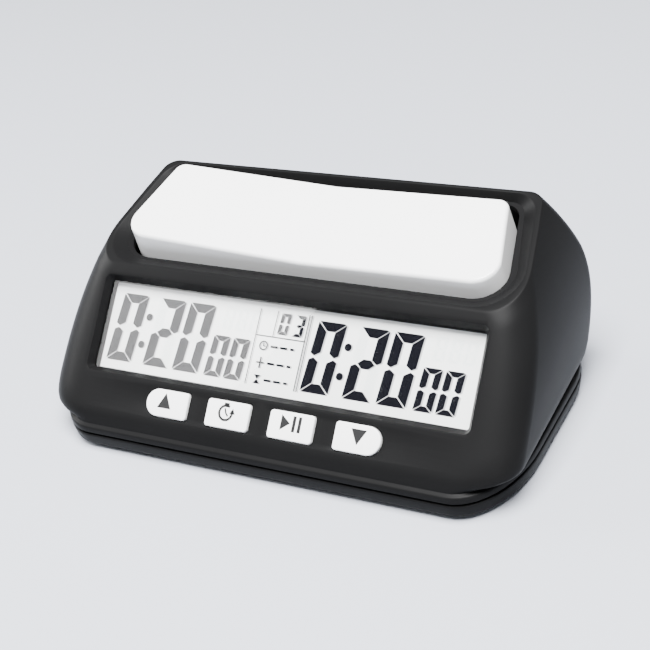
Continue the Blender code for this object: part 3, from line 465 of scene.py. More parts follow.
def window_cut(edge):
    """Tapered solid of the display opening, with a rounded rim: growth and height of each ring."""
    rings = [level(rounded_box(WINDOW_INNER, WINDOW_RADIUS[1], (0, WINDOW_S)), -WALL - 1.0)]
    for grow, z in ((-0.06, -edge), (edge * 0.2, -edge * 0.3), (edge, 0.02), (edge + 3.0, 3.0)):
        rings.append(level(rounded_box(WINDOW_OUTER, WINDOW_RADIUS[0], (0, WINDOW_S), grow), z))
    return loft(rings)


def key_cut(x, style, edge):
    """Solid of one key hole, with a rounded rim: growth and height of each ring."""
    rim = ((0.0, -WALL - 1.5), (0.0, -edge * 0.7), (edge * 0.15, -edge * 0.2), (edge * 0.7, 0.02),
           (edge * 0.7 + 2.0, 2.0))
    return loft([level(moved(key_outline(style, GAP + grow), x, KEY_S), z) for grow, z in rim])


def build_body(edge):
    """Upper housing: pillow-shaped skin, well, display opening, key holes and inner posts."""
    foot = PARTING + PARTING_GAP
    rings = [base_ring(foot + rise, inset) for rise, inset in FLANGE_PROFILE]
    rings += body_rings(SKIN_LEVELS, 0.0, edge * 1.2)
    for inset, drop in ((0.06, 0.6), (0.22, 0.22), (0.5, 0.05), (0.9, 0.0)):
        rings += body_rings([1.0], inset * edge, drop * edge)
    housing = solid("body_shell", loft(rings))
    inner = body_rings(CAVITY_LEVELS, WALL, WALL)
    cavity = solid("cavity", loft([[(x, y, PARTING - 2.0) for x, y, _ in inner[0]]] + inner))
    ledge = well(LIP_DEPTH, LIP_THICKNESS)
    kept = loft([level(ledge, -LIP_DEPTH - LIP_THICKNESS), level(ledge, -LIP_DEPTH),
                 level(well(-4.0, LIP_THICKNESS), 4.0)])
    carve(cavity, solid("kept", kept, DECK))
    for bm, place in posts():
        carve(cavity, solid("kept", bm, place))
    carve(housing, cavity)
    carve(housing, solid("cut", well_cut(edge), DECK))
    opening = trapezoid(ROCKER_FRONT, ROCKER_REAR, ROCKER_HALF, ROCKER_RADIUS, [-ROCKER_GAP] * 3)
    carve(housing, solid("cut", plate(opening, ROCKER_SKIRT, -2.0), DECK))
    carve(housing, solid("cut", window_cut(edge), FACE))
    for _, x, style in KEYS:
        carve(housing, solid("cut", key_cut(x, style, edge), FACE))
    for x, y in screw_places():
        carve(housing, solid("cut", rod(THREAD, 5.0, 17.0, x, y, 16)))
    for side in (-1, 1):
        ear_thread = rod(SMALL_THREAD, -20.0, -9.0, side * EAR[0], EAR[1], 16)
        carve(housing, solid("cut", ear_thread, DECK))
        board_thread = rod(SMALL_THREAD, -20.0, -4.5, side * BOARD_POST[0], BOARD_POST[1], 16)
        carve(housing, solid("cut", board_thread, FACE))
    return housing


def build_base():
    """Lower housing: tray with a tongue, screw bosses, cell walls, door slot and sound holes."""
    rings = [base_ring(BASE_BOTTOM + rise, inset) for rise, inset in BASE_FOOT_PROFILE]
    rings += [base_ring(PARTING - fall, inset) for fall, inset in BASE_TOP_PROFILE]
    tray = solid("base_shell", loft(rings))
    rim = WALL + GAP
    tongue = plate(mirrored(body_plan(CREASE, rim)), BASE_BOTTOM + 1.0, TONGUE_TOP)
    carve(tray, solid("add", tongue), "UNION")
    inside = mirrored(body_plan(CREASE, rim + TONGUE))
    carve(tray, solid("cut", plate(inside, BASE_BOTTOM + BASE_FLOOR, TONGUE_TOP + 2.0)))
    floor = BASE_BOTTOM + 0.5
    for x, y in screw_places():
        carve(tray, solid("add", rod(BOSS_RADIUS, floor, TONGUE_TOP, x, y, 24)), "UNION")
    reach = CELL_REACH + CELL_WALL
    for side in (-1, 1):
        ends = sorted((side * CELL_REACH, side * reach))
        wall = box((ends[0], CELL_Y - 8.5, floor), (ends[1], CELL_Y + 8.5, CELL_Z + 4.0))
        carve(tray, solid("add", wall), "UNION")
    for y in (CELL_Y - 9.6, CELL_Y + 8.0):
        wall = box((-reach, y, floor), (reach, y + CELL_WALL, CELL_Z))
        carve(tray, solid("add", wall), "UNION")
    wide = DOOR_HALF + GAP
    carve(tray, solid("cut", box((-wide, DOOR_FRONT - GAP, 0), (wide, 60, BASE_BOTTOM + 0.6))))
    wide += DOOR_FLANGE
    rails = box((-wide, DOOR_FRONT - GAP, BASE_BOTTOM + 0.5), (wide, 60, BASE_BOTTOM + BASE_FLOOR + 0.1))
    carve(tray, solid("cut", rails))
    for x, y in screw_places():
        carve(tray, solid("cut", rod(THREAD, -1, 20, x, y, 16)))
        carve(tray, solid("cut", rod(HEAD_POCKET[0], -1, HEAD_POCKET[1], x, y, 24)))
    for x, y in FEET:
        for side in (-1, 1):
            carve(tray, solid("cut", rod(FOOT_RADIUS + GAP, -1, BASE_BOTTOM + 0.8, side * x, y)))
    for k in range(5):
        angle = math.radians(90 + 72 * k)
        x = BUZZER[0] + SOUND_CIRCLE * math.cos(angle)
        y = BUZZER[1] + SOUND_CIRCLE * math.sin(angle)
        carve(tray, solid("cut", rod(SOUND_HOLE, -1, 5, x, y, 16)))
    return tray


def build_door():
    """Sliding battery door with a finger grip."""
    low, rear = BASE_BOTTOM, BASE_REAR - 0.6
    top = low + DOOR_THICKNESS
    door = solid("battery_door_shell", box((-DOOR_HALF, DOOR_FRONT, low), (DOOR_HALF, rear, top)))
    wide = DOOR_HALF + DOOR_FLANGE
    carve(door, solid("add", box((-wide, DOOR_FRONT, low + 0.8), (wide, rear, top))), "UNION")
    for k in range(4):
        y = BASE_REAR - 9.0 + 1.6 * k
        grip = rounded_box((8.0, 0.4), 0.35, (0, y + 0.4))
        carve(door, solid("cut", loft([level(grip, low - 0.5), level(grip, low + 0.4)])))
    return door


def rocker_ring(inset, z, valley=True):
    """Ring of the rocker about its pivot, level or along the V-shaped top."""
    outline = trapezoid(ROCKER_FRONT, ROCKER_REAR, ROCKER_HALF, ROCKER_RADIUS, inset)
    rise = math.tan(math.radians(ROCKER_VALLEY)) if valley else 0.0
    return [(x, y, z + abs(x) * rise - PIVOT) for x, y in outline]


def rocker_solid(name, inset, drop, foot, steps):
    """Closed solid of the rocker with a V-shaped top and rounded upper edges."""
    height, side, top = ROCKER_EDGE
    rings = [rocker_ring((inset, inset, inset + ROCKER_DRAFT), foot, False)]
    for k in range(steps + 1):
        turn = math.radians(90 * k / steps)
        taper = inset + top - (top - side) * math.cos(turn)
        rings.append(rocker_ring([taper] * 3, ROCKER_TOP - drop - height + height * math.sin(turn)))
    bm = loft(rings, ends=False)
    bm.verts.ensure_lookup_table()
    count = len(rings[0])
    start = (len(rings) - 1) * count
    upper = [bm.verts[start + k] for k in range(count)]
    bm.faces.new([bm.verts[k] for k in range(count)][::-1])
    bm.faces.new(upper[:count // 2 + 1])
    bm.faces.new(upper[count // 2:] + [upper[0]])
    return solid(name, bm, ROCKER)


def build_rocker(edge_steps):
    """Rocker bar, hollow below, with a hub on its pivot and a leg over each switch."""
    bar = rocker_solid("rocker_shell", 0.0, 0.0, ROCKER_SKIRT, edge_steps)
    hollow = rocker_solid("hollow", ROCKER_WALL, 2.0, ROCKER_SKIRT - 2.0, 3)
    x, s, half, low = LEG
    blocks = [HUB, ((-x - half, s - half, low), (half - x, s + half, 5.0)),
              ((x - half, s - half, low), (x + half, s + half, 5.0))]
    for corner, opposite in blocks:
        carve(hollow, solid("kept", box(corner, (*opposite[:2], 12.0)), ROCKER))
        carve(bar, solid("add", box(corner, opposite), ROCKER), "UNION")
    carve(bar, hollow)
    turn = Matrix.Rotation(math.radians(-90), 4, "X")
    carve(bar, solid("cut", rod(PIN_RADIUS + GAP, PIN_FRONT - GAP, 60), ROCKER @ turn))
    return bar


def build_key(name, x, style, soft):
    """Key cap with a softened top edge, a retaining flange and a stem."""
    low = -WALL - GAP - KEY_RIM
    rings = [(KEY_RIM, low), (KEY_RIM, low + KEY_RIM), (0.0, low + KEY_RIM), (0.0, KEY_PROUD - soft)]
    for k in range(1, 6):
        turn = math.radians(90 * k / 5)
        rings.append((soft * (math.cos(turn) - 1), KEY_PROUD - soft + soft * math.sin(turn)))
    cap = loft([level(moved(key_outline(style, grow), x, KEY_S), z) for grow, z in rings])
    key = solid(name + "_cap", cap, FACE)
    carve(key, solid("add", rod(KEY_STEM[0], KEY_STEM[1], low + 0.1, x, KEY_S, 20), FACE), "UNION")
    return key


def build_spring(name, side, high, turns):
    """Coil between the carrier and one plunger, in the deck's frame."""
    around = 10
    steps = 24 * turns
    section = [(SPRING_WIRE * math.cos(a), SPRING_WIRE * math.sin(a))
               for a in (2 * math.pi * j / around for j in range(around))]
    rings = []
    for k in range(steps + 1):
        turn = 2 * math.pi * turns * k / steps
        out = Vector((math.cos(turn), math.sin(turn), 0.0))
        height = SPRING_FOOT + (high - SPRING_FOOT) * k / steps
        middle = Vector((side * LEG[0], LEG[1], height)) + out * SPRING_RADIUS
        rings.append([middle + out * across + Vector((0, 0, up)) for across, up in section])
    return solid(name, loft(rings), DECK)


# ---------------------------------------------------------------- printed marks

def print_shapes(name, shapes, low, high):
    """Flat shapes in the front face's frame, as one thin piece."""
    bm = bmesh.new()
    for outline in shapes:
        lower = [bm.verts.new((x, s, low)) for x, s in outline]
        upper = [bm.verts.new((x, s, high)) for x, s in outline]
        bm.faces.new(lower[::-1])
        bm.faces.new(upper)
        for k in range(len(outline)):
            after = (k + 1) % len(outline)
            bm.faces.new((lower[k], lower[after], upper[after], upper[k]))
    return solid(name, bm, FACE)


def disc(x, s, radius, sides=28):
    angles = [2 * math.pi * k / sides for k in range(sides)]
    return [(x + radius * math.cos(a), s + radius * math.sin(a)) for a in angles]


def stroke(points, width):
    """Outline of an open line of even width."""
    route = [Vector(point) for point in points]
    left, right = [], []
    for k, point in enumerate(route):
        along = (route[min(k + 1, len(route) - 1)] - route[max(k - 1, 0)]).normalized()
        side = Vector((-along.y, along.x)) * width / 2
        left.append(tuple(point + side))
        right.append(tuple(point - side))
    return left + right[::-1]


def ring_parts(x, s, radius, width, start=0.0, end=360.0, steps=28):
    """Round line cut into short pieces, so that each piece is a simple outline."""
    points = arc((x, s), (radius, radius), start, end, steps)
    return [stroke(points[k:k + 2], width) for k in range(steps)]


def bar(x, s, half_x, half_s):
    signs = ((-1, -1), (1, -1), (1, 1), (-1, 1))
    return [(x + i * half_x, s + j * half_s) for i, j in signs]


SEGMENTS = {"0": "abcdef", "2": "abdeg", "3": "abcdg", "8": "abcdefg"}
SLANT = 0.094


def digit(figure, x, s, width, height, across, along, gap):
    """Seven-segment figure with mitred ends; across and along are the stroke widths."""
    half, middle, g = height / 2, along * 0.5, gap
    shapes = {
        "a": [(g, height), (width - g - 0.25 * across, height),
              (width - g - 0.02 * across, height - 0.12 * along),
              (width - across - g * 0.4, height - along), (across + g * 0.4, height - along)],
        "d": [(g, 0), (width - g, 0), (width - across - g * 0.4, along), (across + g * 0.4, along)],
        "f": [(0, half + middle * 0.55 + g), (across * 0.42, half + g), (across, half + middle * 0.85 + g),
              (across, height - along - g), (g * 0.2, height - g * 1.2), (0, height - g * 1.9)],
        "e": [(0, half - middle * 0.55 - g), (across * 0.42, half - g), (across, half - middle * 0.85 - g),
              (across, along + g), (g * 0.2, g * 1.2), (0, g * 1.9)],
        "g": [(across * 0.5 + g, half), (across + g, half - middle), (width - across - g, half - middle),
              (width - across * 0.5 - g, half), (width - across - g, half + middle),
              (across + g, half + middle)],
    }
    shapes["b"] = [(width - px, py) for px, py in reversed(shapes["f"])]
    shapes["c"] = [(width - px, py) for px, py in reversed(shapes["e"])]
    return [[(x + px + SLANT * py, s + py) for px, py in shapes[name]] for name in SEGMENTS[figure]]


BIG = (9.2, 21.2, 3.2, 2.75, 0.26)
SMALL = (5.8, 12.5, 2.1, 1.6, 0.2)
CELL_DIGIT = (3.3, 6.4, 1.15, 0.95, 0.12)
GHOST_DIGIT = (3.4, 7.0, 1.05, 0.9, 0.18)
READOUT_S = 21.0
RIGHT_START = 8.1
HALF_SHIFT = -69.0


def readout(shift, figures="02000"):
    """One player's time: three large figures, a colon and two small ones."""
    shapes = []
    for figure, offset in zip(figures, (0.0, 13.7, 24.5)):
        shapes += digit(figure, RIGHT_START + offset + shift, READOUT_S, *BIG)
    for figure, offset in zip(figures[3:], (35.9, 42.8)):
        shapes += digit(figure, RIGHT_START + offset + shift, READOUT_S, *SMALL)
    shapes += [disc(20.8 + shift, 35.7, 1.15), disc(19.9 + shift, 27.0, 1.15)]
    return shapes


def mode_number():
    """Two figures in the upper cell of the middle column."""
    return digit("0", -3.0, 36.4, *CELL_DIGIT) + digit("3", 1.9, 36.4, *CELL_DIGIT)


def ghost_readout(shift):
    """The resting segments behind one player's time."""
    shapes = readout(shift, "88888")
    for k in range(3):
        shapes += digit("8", 47.0 + 4.6 * k + shift, 35.6, *GHOST_DIGIT)
    return shapes


def panel_lines():
    """Ruled lines round the middle column of the display."""
    lines = []
    for x, width in ((-10.2, 0.28), (6.3, 0.34), (7.15, 0.28)):
        lines.append(stroke([(x, 20.6), (x + SLANT * 4, 43.3)], width))
    lines.append(stroke([(-10.0, 35.4), (6.5, 35.4)], 0.3))
    lines.append(stroke([(-4.2, 35.6), (-3.9, 43.3)], 0.25))
    return lines


def mode_marks():
    """Three plain signs for the three timing modes: a dial, a plus and an hourglass."""
    shapes = ring_parts(-6.6, 32.5, 1.25, 0.42)
    shapes += [stroke([(-6.6, 32.4), (-6.6, 33.3)], 0.34), stroke([(-6.7, 32.4), (-5.9, 32.4)], 0.34)]
    shapes += [bar(-6.6, 27.4, 1.3, 0.24), bar(-6.6, 28.35, 0.24, 0.71), bar(-6.6, 26.45, 0.24, 0.71)]
    shapes += [[(-7.7, 23.7), (-6.6, 22.4), (-5.5, 23.7)], [(-7.7, 21.1), (-5.5, 21.1), (-6.6, 22.4)]]
    for s in (32.5, 27.4, 22.4):
        for k, length in enumerate((1.5, 1.5, 0.8)):
            shapes.append(bar(-3.0 + 3.2 * k + (length - 1.5) * 0.5, s, length * 0.8, 0.33))
    return shapes


def key_marks():
    """Symbols printed on the keys."""
    up = [[(-34.9, 8.7), (-30.1, 8.7), (-32.5, 13.3)]]
    down = [[(29.6, 12.9), (32.0, 8.4), (34.5, 12.9)]]
    reset = ring_parts(-11.2, 10.7, 2.15, 0.75, 60.0, 385.0, 26)
    reset += [[(-8.1, 10.6), (-9.9, 10.6), (-8.9, 12.3)]]
    reset += [bar(-11.2, 13.3, 0.85, 0.35), bar(-11.2, 12.9, 0.35, 0.5)]
    reset += [stroke([(-11.1, 10.7), (-11.6, 12.0)], 0.5), stroke([(-11.2, 10.8), (-10.3, 9.8)], 0.5)]
    play = [[(7.3, 8.7), (10.3, 11.0), (7.3, 13.3)], bar(11.6, 11.0, 0.5, 2.3), bar(13.4, 11.0, 0.5, 2.3)]
    return {"key_up": up, "key_reset": reset, "key_play_pause": play, "key_down": down}


# ---------------------------------------------------------------- finishes

def plug(tree, socket, value):
    if isinstance(value, Wire):
        tree.links.new(value.socket, socket)
    else:
        socket.default_value = value


class Wire:
    """A number in a shader tree that can be used in plain arithmetic."""

    def __init__(self, tree, socket):
        self.tree = tree
        self.socket = socket

    def maths(self, operation, first, second):
        node = self.tree.nodes.new("ShaderNodeMath")
        node.operation = operation
        plug(self.tree, node.inputs[0], first)
        plug(self.tree, node.inputs[1], second)
        return Wire(self.tree, node.outputs[0])

    def __add__(self, other):
        return self.maths("ADD", self, other)

    def __radd__(self, other):
        return self.maths("ADD", other, self)

    def __sub__(self, other):
        return self.maths("SUBTRACT", self, other)

    def __rsub__(self, other):
        return self.maths("SUBTRACT", other, self)

    def __mul__(self, other):
        return self.maths("MULTIPLY", self, other)

    def __rmul__(self, other):
        return self.maths("MULTIPLY", other, self)

    def __truediv__(self, other):
        return self.maths("DIVIDE", self, other)

    def __rtruediv__(self, other):
        return self.maths("DIVIDE", other, self)

    def above(self, other):
        return self.maths("GREATER_THAN", self, other)


class Finish:
    """One material; its constants go straight on the shader, its varying values through wires."""

    def __init__(self, name, **constants):
        self.material = bpy.data.materials.new(name)
        self.material.use_nodes = True
        self.tree = self.material.node_tree
        self.shader = self.tree.nodes["Principled BSDF"]
        for key, value in constants.items():
            self.shader.inputs[key.replace("_", " ")].default_value = value
        self.place = self.node("TexCoord", {}, "Object")

    def node(self, kind, settings, output, **inputs):
        made = self.tree.nodes.new("ShaderNode" + kind)
        for key, value in settings.items():
            setattr(made, key, value)
        for key, value in inputs.items():
            plug(self.tree, made.inputs[key.replace("_", " ")], value)
        return Wire(self.tree, made.outputs[output])

    def noise(self, scale, detail=3.0, rough=0.5):
        return self.node("TexNoise", {}, 0, Vector=self.place, Scale=scale, Detail=detail, Roughness=rough)

    def mix(self, first, second, share):
        made = self.tree.nodes.new("ShaderNodeMix")
        made.data_type = "RGBA"
        plug(self.tree, made.inputs[0], share)
        plug(self.tree, made.inputs[6], first)
        plug(self.tree, made.inputs[7], second)
        return Wire(self.tree, made.outputs[2])

    def vary(self, **values):
        for key, value in values.items():
            plug(self.tree, self.shader.inputs[key.replace("_", " ")], value)
        return self

    def grain(self, height, strength, depth):
        """Fine relief, with its depth in metres."""
        return self.vary(Normal=self.node("Bump", {}, 0, Strength=strength, Distance=depth, Height=height))


def shade(colour, factor):
    return (*(min(channel * factor, 1.0) for channel in colour), 1.0)


def moulded(name, colour, rough, fine=4200.0, depth=0.00002, spread=0.12, cloud=45.0, **constants):
    """Moulded plastic or rubber: cloudy tone, uneven gloss and a fine spark-eroded grain."""
    made = Finish(name, **constants)
    soft, tiny = made.noise(cloud), made.noise(fine, 2.0)
    made.vary(Base_Color=made.mix(shade(colour, 1 - spread), shade(colour, 1 + spread), soft),
              Roughness=rough - 0.05 + 0.06 * soft + 0.05 * tiny)
    return made.grain(tiny, 0.35, depth).material


def metal(name, colour, rough, streak=900.0):
    """Plated metal with faint drawing marks and dull patches."""
    made = Finish(name, Metallic=1.0)
    soft, tiny = made.noise(120.0), made.noise(streak, 4.0)
    made.vary(Base_Color=made.mix(shade(colour, 0.78), shade(colour, 1.08), soft),
              Roughness=rough - 0.06 + 0.16 * tiny)
    return made.grain(tiny, 0.2, 0.00001).material


def window_finish():
    """Clear acrylic: lets most light through and mirrors a small share, with faint smears."""
    made = Finish("window_clear_acrylic", Roughness=0.03)
    smear = made.noise(30.0, 4.0)
    made.vary(Roughness=0.02 + 0.05 * smear)
    through = made.tree.nodes.new("ShaderNodeBsdfTransparent")
    mirror = made.tree.nodes.new("ShaderNodeBsdfGlossy")
    mirror.inputs["Roughness"].default_value = 0.03
    blend = made.tree.nodes.new("ShaderNodeMixShader")
    plug(made.tree, blend.inputs[0], 0.045 + 0.02 * smear)
    made.tree.links.new(through.outputs[0], blend.inputs[1])
    made.tree.links.new(mirror.outputs[0], blend.inputs[2])
    made.tree.links.new(blend.outputs[0], made.tree.nodes["Material Output"].inputs[0])
    made.tree.nodes.remove(made.shader)
    return made.material


def board_finish():
    """Green solder mask over faint copper tracks."""
    made = Finish("board_green_mask", Coat_Weight=0.4)
    track = made.node("TexBrick", {"offset": 0.37}, "Fac", Vector=made.place, Scale=160.0, Mortar_Size=0.03)
    soft = made.noise(80.0)
    mask = made.mix((0.012, 0.1, 0.045, 1), (0.02, 0.16, 0.07, 1), soft)
    made.vary(Base_Color=made.mix(mask, (0.06, 0.28, 0.11, 1), track), Roughness=0.4 + 0.15 * soft)
    return made.grain(track, 0.4, 0.00003).material


def cell_finish():
    """Printed cell jacket: green with a copper-coloured end band."""
    made = Finish("cell_printed_jacket", Coat_Weight=0.5)
    split = made.node("SeparateXYZ", {}, 0, Vector=made.place)
    band = split.above(0.013)
    soft = made.noise(60.0)
    green = made.mix((0.03, 0.16, 0.08, 1), (0.05, 0.24, 0.12, 1), soft)
    made.vary(Base_Color=made.mix(green, (0.55, 0.3, 0.14, 1), band), Roughness=0.28 + 0.12 * soft)
    return made.material


def all_finishes():
    """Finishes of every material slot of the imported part."""
    return {
        "case_black": moulded("case_satin_black", (0.006, 0.006, 0.0062), 0.4, Specular_IOR_Level=0.04),
        "base_black": moulded("base_satin_black", (0.006, 0.006, 0.0062), 0.42, Specular_IOR_Level=0.04),
        "rocker_white": moulded("rocker_gloss_white", (0.97, 0.97, 0.97), 0.12, depth=0.000002, spread=0.02,
                                Coat_Weight=0.3),
        "key_white": moulded("key_white_plastic", (0.95, 0.95, 0.945), 0.3, depth=0.000005, spread=0.02),
        "inner_black": moulded("inner_frame_black", (0.012, 0.012, 0.012), 0.55, Specular_IOR_Level=0.2),
        "foot_rubber": moulded("foot_soft_rubber", (0.03, 0.03, 0.03), 0.85, 2500.0, 0.00004, 0.2),
        "bright_steel": metal("spring_bright_steel", (0.62, 0.62, 0.63), 0.28),
        "screw_steel": metal("screw_zinc_steel", (0.4, 0.4, 0.41), 0.36),
        "buzzer_brass": metal("buzzer_brass_disc", (0.72, 0.52, 0.22), 0.34),
        "board_green": board_finish(),
        "switch_black": moulded("switch_case_black", (0.025, 0.025, 0.027), 0.5),
        "stem_brown": moulded("switch_stem_brown", (0.13, 0.065, 0.035), 0.5),
        "window_clear": window_finish(),
        "lcd_glass": moulded("display_glass_pale", (0.955, 0.975, 0.96), 0.25, 3000.0, 0.000002, 0.02, 25.0),
        "lcd_reflector": moulded("display_reflector", (0.78, 0.78, 0.76), 0.4),
        "zebra_rubber": moulded("contact_strip_rubber", (0.09, 0.09, 0.1), 0.8, 1500.0, 0.00004, 0.3),
        "epoxy_black": moulded("chip_epoxy", (0.015, 0.015, 0.015), 0.25, 800.0, 0.00005),
        "capacitor_sleeve": moulded("capacitor_sleeve", (0.03, 0.04, 0.14), 0.38),
        "cell_jacket": cell_finish(),
        "lead_red": moulded("lead_red_sleeve", (0.5, 0.03, 0.02), 0.42),
        "lead_black": moulded("lead_black_sleeve", (0.02, 0.02, 0.02), 0.42),
    }


def finish_of(slot):
    """The finish of a slot; all of them are made the first time one is asked for."""
    if not FINISHES:
        FINISHES.update(all_finishes())
    return FINISHES[slot]


FINISHES = {}


# ---------------------------------------------------------------- settings

class HousingSettings(bpy.types.PropertyGroup):
    """Settings of the housings"""
    edge: bpy.props.FloatProperty(
        name="Edge softness", description="Rounding of the crisp edges of the case",
        default=0.00025, min=0.0001, max=0.0005, unit="LENGTH", subtype="DISTANCE")


class RockerSettings(bpy.types.PropertyGroup):
    """Settings of the rocker"""
    edge_steps: bpy.props.IntProperty(
        name="Edge steps", description="Facets in the rounding of the rocker's edge",
        default=8, min=3, max=16)


class SpringSettings(bpy.types.PropertyGroup):
    """Settings of the plunger springs"""
    turns: bpy.props.IntProperty(
        name="Turns", description="Turns of each plunger spring", default=4, min=2, max=6)


class KeySettings(bpy.types.PropertyGroup):
    """Settings of the keys"""
    softness: bpy.props.FloatProperty(
        name="Edge softness", description="Rounding of the upper edge of the keys",
        default=0.00035, min=0.0001, max=0.0008, unit="LENGTH", subtype="DISTANCE")


class DisplaySettings(bpy.types.PropertyGroup):
    """Settings of the display"""
    lit: bpy.props.FloatVectorProperty(
        name="Figures", description="Colour of the dark segments",
        default=(0.002, 0.002, 0.004), min=0.0, max=1.0, size=3, subtype="COLOR")
    ghost: bpy.props.FloatVectorProperty(
        name="Resting segments", description="Colour of the segments that are off",
        default=(0.85, 0.89, 0.875), min=0.0, max=1.0, size=3, subtype="COLOR")


class StudioSettings(bpy.types.PropertyGroup):
    """Settings of the stage, lights and camera"""
    floor: bpy.props.FloatVectorProperty(
        name="Floor", description="Colour of the floor",
        default=(0.42, 0.44, 0.49), min=0.0, max=1.0, size=3, subtype="COLOR")
    distance: bpy.props.FloatProperty(
        name="Camera distance", description="From the camera to its target",
        default=0.423004, min=0.1, max=5.0, unit="LENGTH", subtype="DISTANCE")
    lens: bpy.props.FloatProperty(
        name="Lens", description="Focal length", default=78.381, min=10.0, max=300.0, unit="CAMERA")


class ClockSettings(bpy.types.PropertyGroup):
    """All settings of the chess clock"""
    housing: bpy.props.PointerProperty(type=HousingSettings, name="Housing", description="Housings")
    rocker: bpy.props.PointerProperty(type=RockerSettings, name="Rocker", description="Rocker")
    springs: bpy.props.PointerProperty(type=SpringSettings, name="Springs", description="Plunger springs")
    keys: bpy.props.PointerProperty(type=KeySettings, name="Keys", description="Keys")
    display: bpy.props.PointerProperty(type=DisplaySettings, name="Display", description="Display")
    studio: bpy.props.PointerProperty(type=StudioSettings, name="Studio", description="Stage and camera")


# ---------------------------------------------------------------- operators

class CLOCK_OT_housing(bpy.types.Operator):
    """Build the upper and lower housing and the battery door"""
    bl_idname = "chess_clock.housing"
    bl_label = "Build housing"

    def execute(self, context):
        edge = context.scene.chess_clock.housing.edge / MM
        polish(build_body(edge), finish_of("case_black"), "housing", ["upper_housing"])
        polish(build_base(), finish_of("base_black"), "housing", ["lower_housing"])
        polish(build_door(), finish_of("base_black"), "battery_door_body", ["battery_door"])
        return {"FINISHED"}


class CLOCK_OT_rocker(bpy.types.Operator):
    """Build the rocker bar"""
    bl_idname = "chess_clock.rocker"
    bl_label = "Build rocker"

    def execute(self, context):
        bar_piece = build_rocker(context.scene.chess_clock.rocker.edge_steps)
        polish(bar_piece, finish_of("rocker_white"), "rocker", ["rocker_bar"])
        return {"FINISHED"}


class CLOCK_OT_springs(bpy.types.Operator):
    """Build the springs under the two plungers"""
    bl_idname = "chess_clock.springs"
    bl_label = "Build springs"

    def execute(self, context):
        turns = context.scene.chess_clock.springs.turns
        for word, side, high in SPRINGS:
            node = "plunger_spring_" + word
            made = polish(build_spring("spring_coil_" + word, side, high, turns), finish_of("bright_steel"),
                          "housing", [node])
            if side < 0:
                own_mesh(made)
        return {"FINISHED"}


class CLOCK_OT_keys(bpy.types.Operator):
    """Build the four keys and their printed symbols"""
    bl_idname = "chess_clock.keys"
    bl_label = "Build keys"

    def execute(self, context):
        soft = context.scene.chess_clock.keys.softness / MM
        ink = moulded("key_symbol_ink", (0.012, 0.012, 0.0125), 0.4, spread=0.2,
                      Specular_IOR_Level=0.2)
        marks = key_marks()
        for name, x, style in KEYS:
            key = build_key(name, x, style, soft)
            polish(key, finish_of("key_white"), name + "_body", [name])
            sign = print_shapes(name + "_symbol", marks[name], KEY_PROUD - PRINT_ROOT, KEY_PROUD + 0.02)
            polish(sign, ink, name + "_body")
        return {"FINISHED"}


class CLOCK_OT_display(bpy.types.Operator):
    """Build the readouts and marks of the display, with a painted shadow under each dark layer"""
    bl_idname = "chess_clock.display"
    bl_label = "Build display"

    def execute(self, context):
        settings = context.scene.chess_clock.display
        lit = moulded("segments_dark", tuple(settings.lit), 0.5, spread=0.2,
                      Specular_IOR_Level=0.0)
        faint = moulded("segments_resting", tuple(settings.ghost), 0.3, spread=0.02)
        # painted shadow: a flat pale grey stands in for the shade the figures cast on the backing
        shadow = moulded("segment_painted_shadow", (0.42, 0.42, 0.43), 0.5, spread=0.05)
        layers = (("resting_segments_left", ghost_readout(HALF_SHIFT), faint, 0.01),
                  ("resting_segments_right", ghost_readout(0.0), faint, 0.01),
                  ("readout_left", readout(HALF_SHIFT), lit, 0.05),
                  ("readout_right", readout(0.0), lit, 0.05),
                  ("panel_lines", panel_lines(), lit, 0.05),
                  ("mode_marks", mode_marks(), lit, 0.05),
                  ("cell_figures", mode_number(), lit, 0.05))
        for name, shapes, look, height in layers:
            piece = print_shapes(name, shapes, GLASS_TOP - PRINT_ROOT, GLASS_TOP + height)
            polish(piece, look, "housing")
            if look == lit:
                # each dark layer gets a shifted grey copy beneath it, a painted shadow
                lower = [moved(shape, *SHADOW_SHIFT) for shape in shapes]
                piece = print_shapes(name + "_shadow", lower, GLASS_TOP - PRINT_ROOT, GLASS_TOP + 0.025)
                polish(piece, shadow, "housing")
        return {"FINISHED"}


class CLOCK_OT_details(bpy.types.Operator):
    """Give every piece that comes straight from the frame its finish"""
    bl_idname = "chess_clock.details"
    bl_label = "Finish inner parts"

    def execute(self, context):
        slots = {part["node"]: part["material_slot"] for part in frame["record"]["subparts"]}
        for name, node in frame["nodes"].items():
            if node.hide_render:
                continue
            for index in range(len(node.data.materials)):
                node.data.materials[index] = finish_of(slots[name])
        return {"FINISHED"}


TARGET = Vector((0.005942, 0.00059, 0.02715))
CAMERA_TURN = (33.594, 34.213, -12.225)  # azimuth, elevation and roll in degrees
SKY_COLOUR = (0.92, 0.95, 1.0, 1.0)
SKY_STRENGTH = 0.22
LIGHTS = (  # name, place, rotation in degrees, size, watts
    ("light_over", (0.12, -0.18, 1.0), (-10.0, 7.0, 0.0), (0.6, 0.6), 66.0),
    ("light_glare", (-0.3412, -0.274, 0.4024), (2.87, -47.65, 40.28), (0.258, 0.149), 0.57),
    ("light_left", (-0.85, 0.0, 0.4), (0.0, -65.0, 0.0), (0.4, 0.5), 11.0),
    ("light_corner", (0.55, -0.55, 0.36), (64.0, 0.0, 45.0), (0.14, 0.5), 1.0),
)


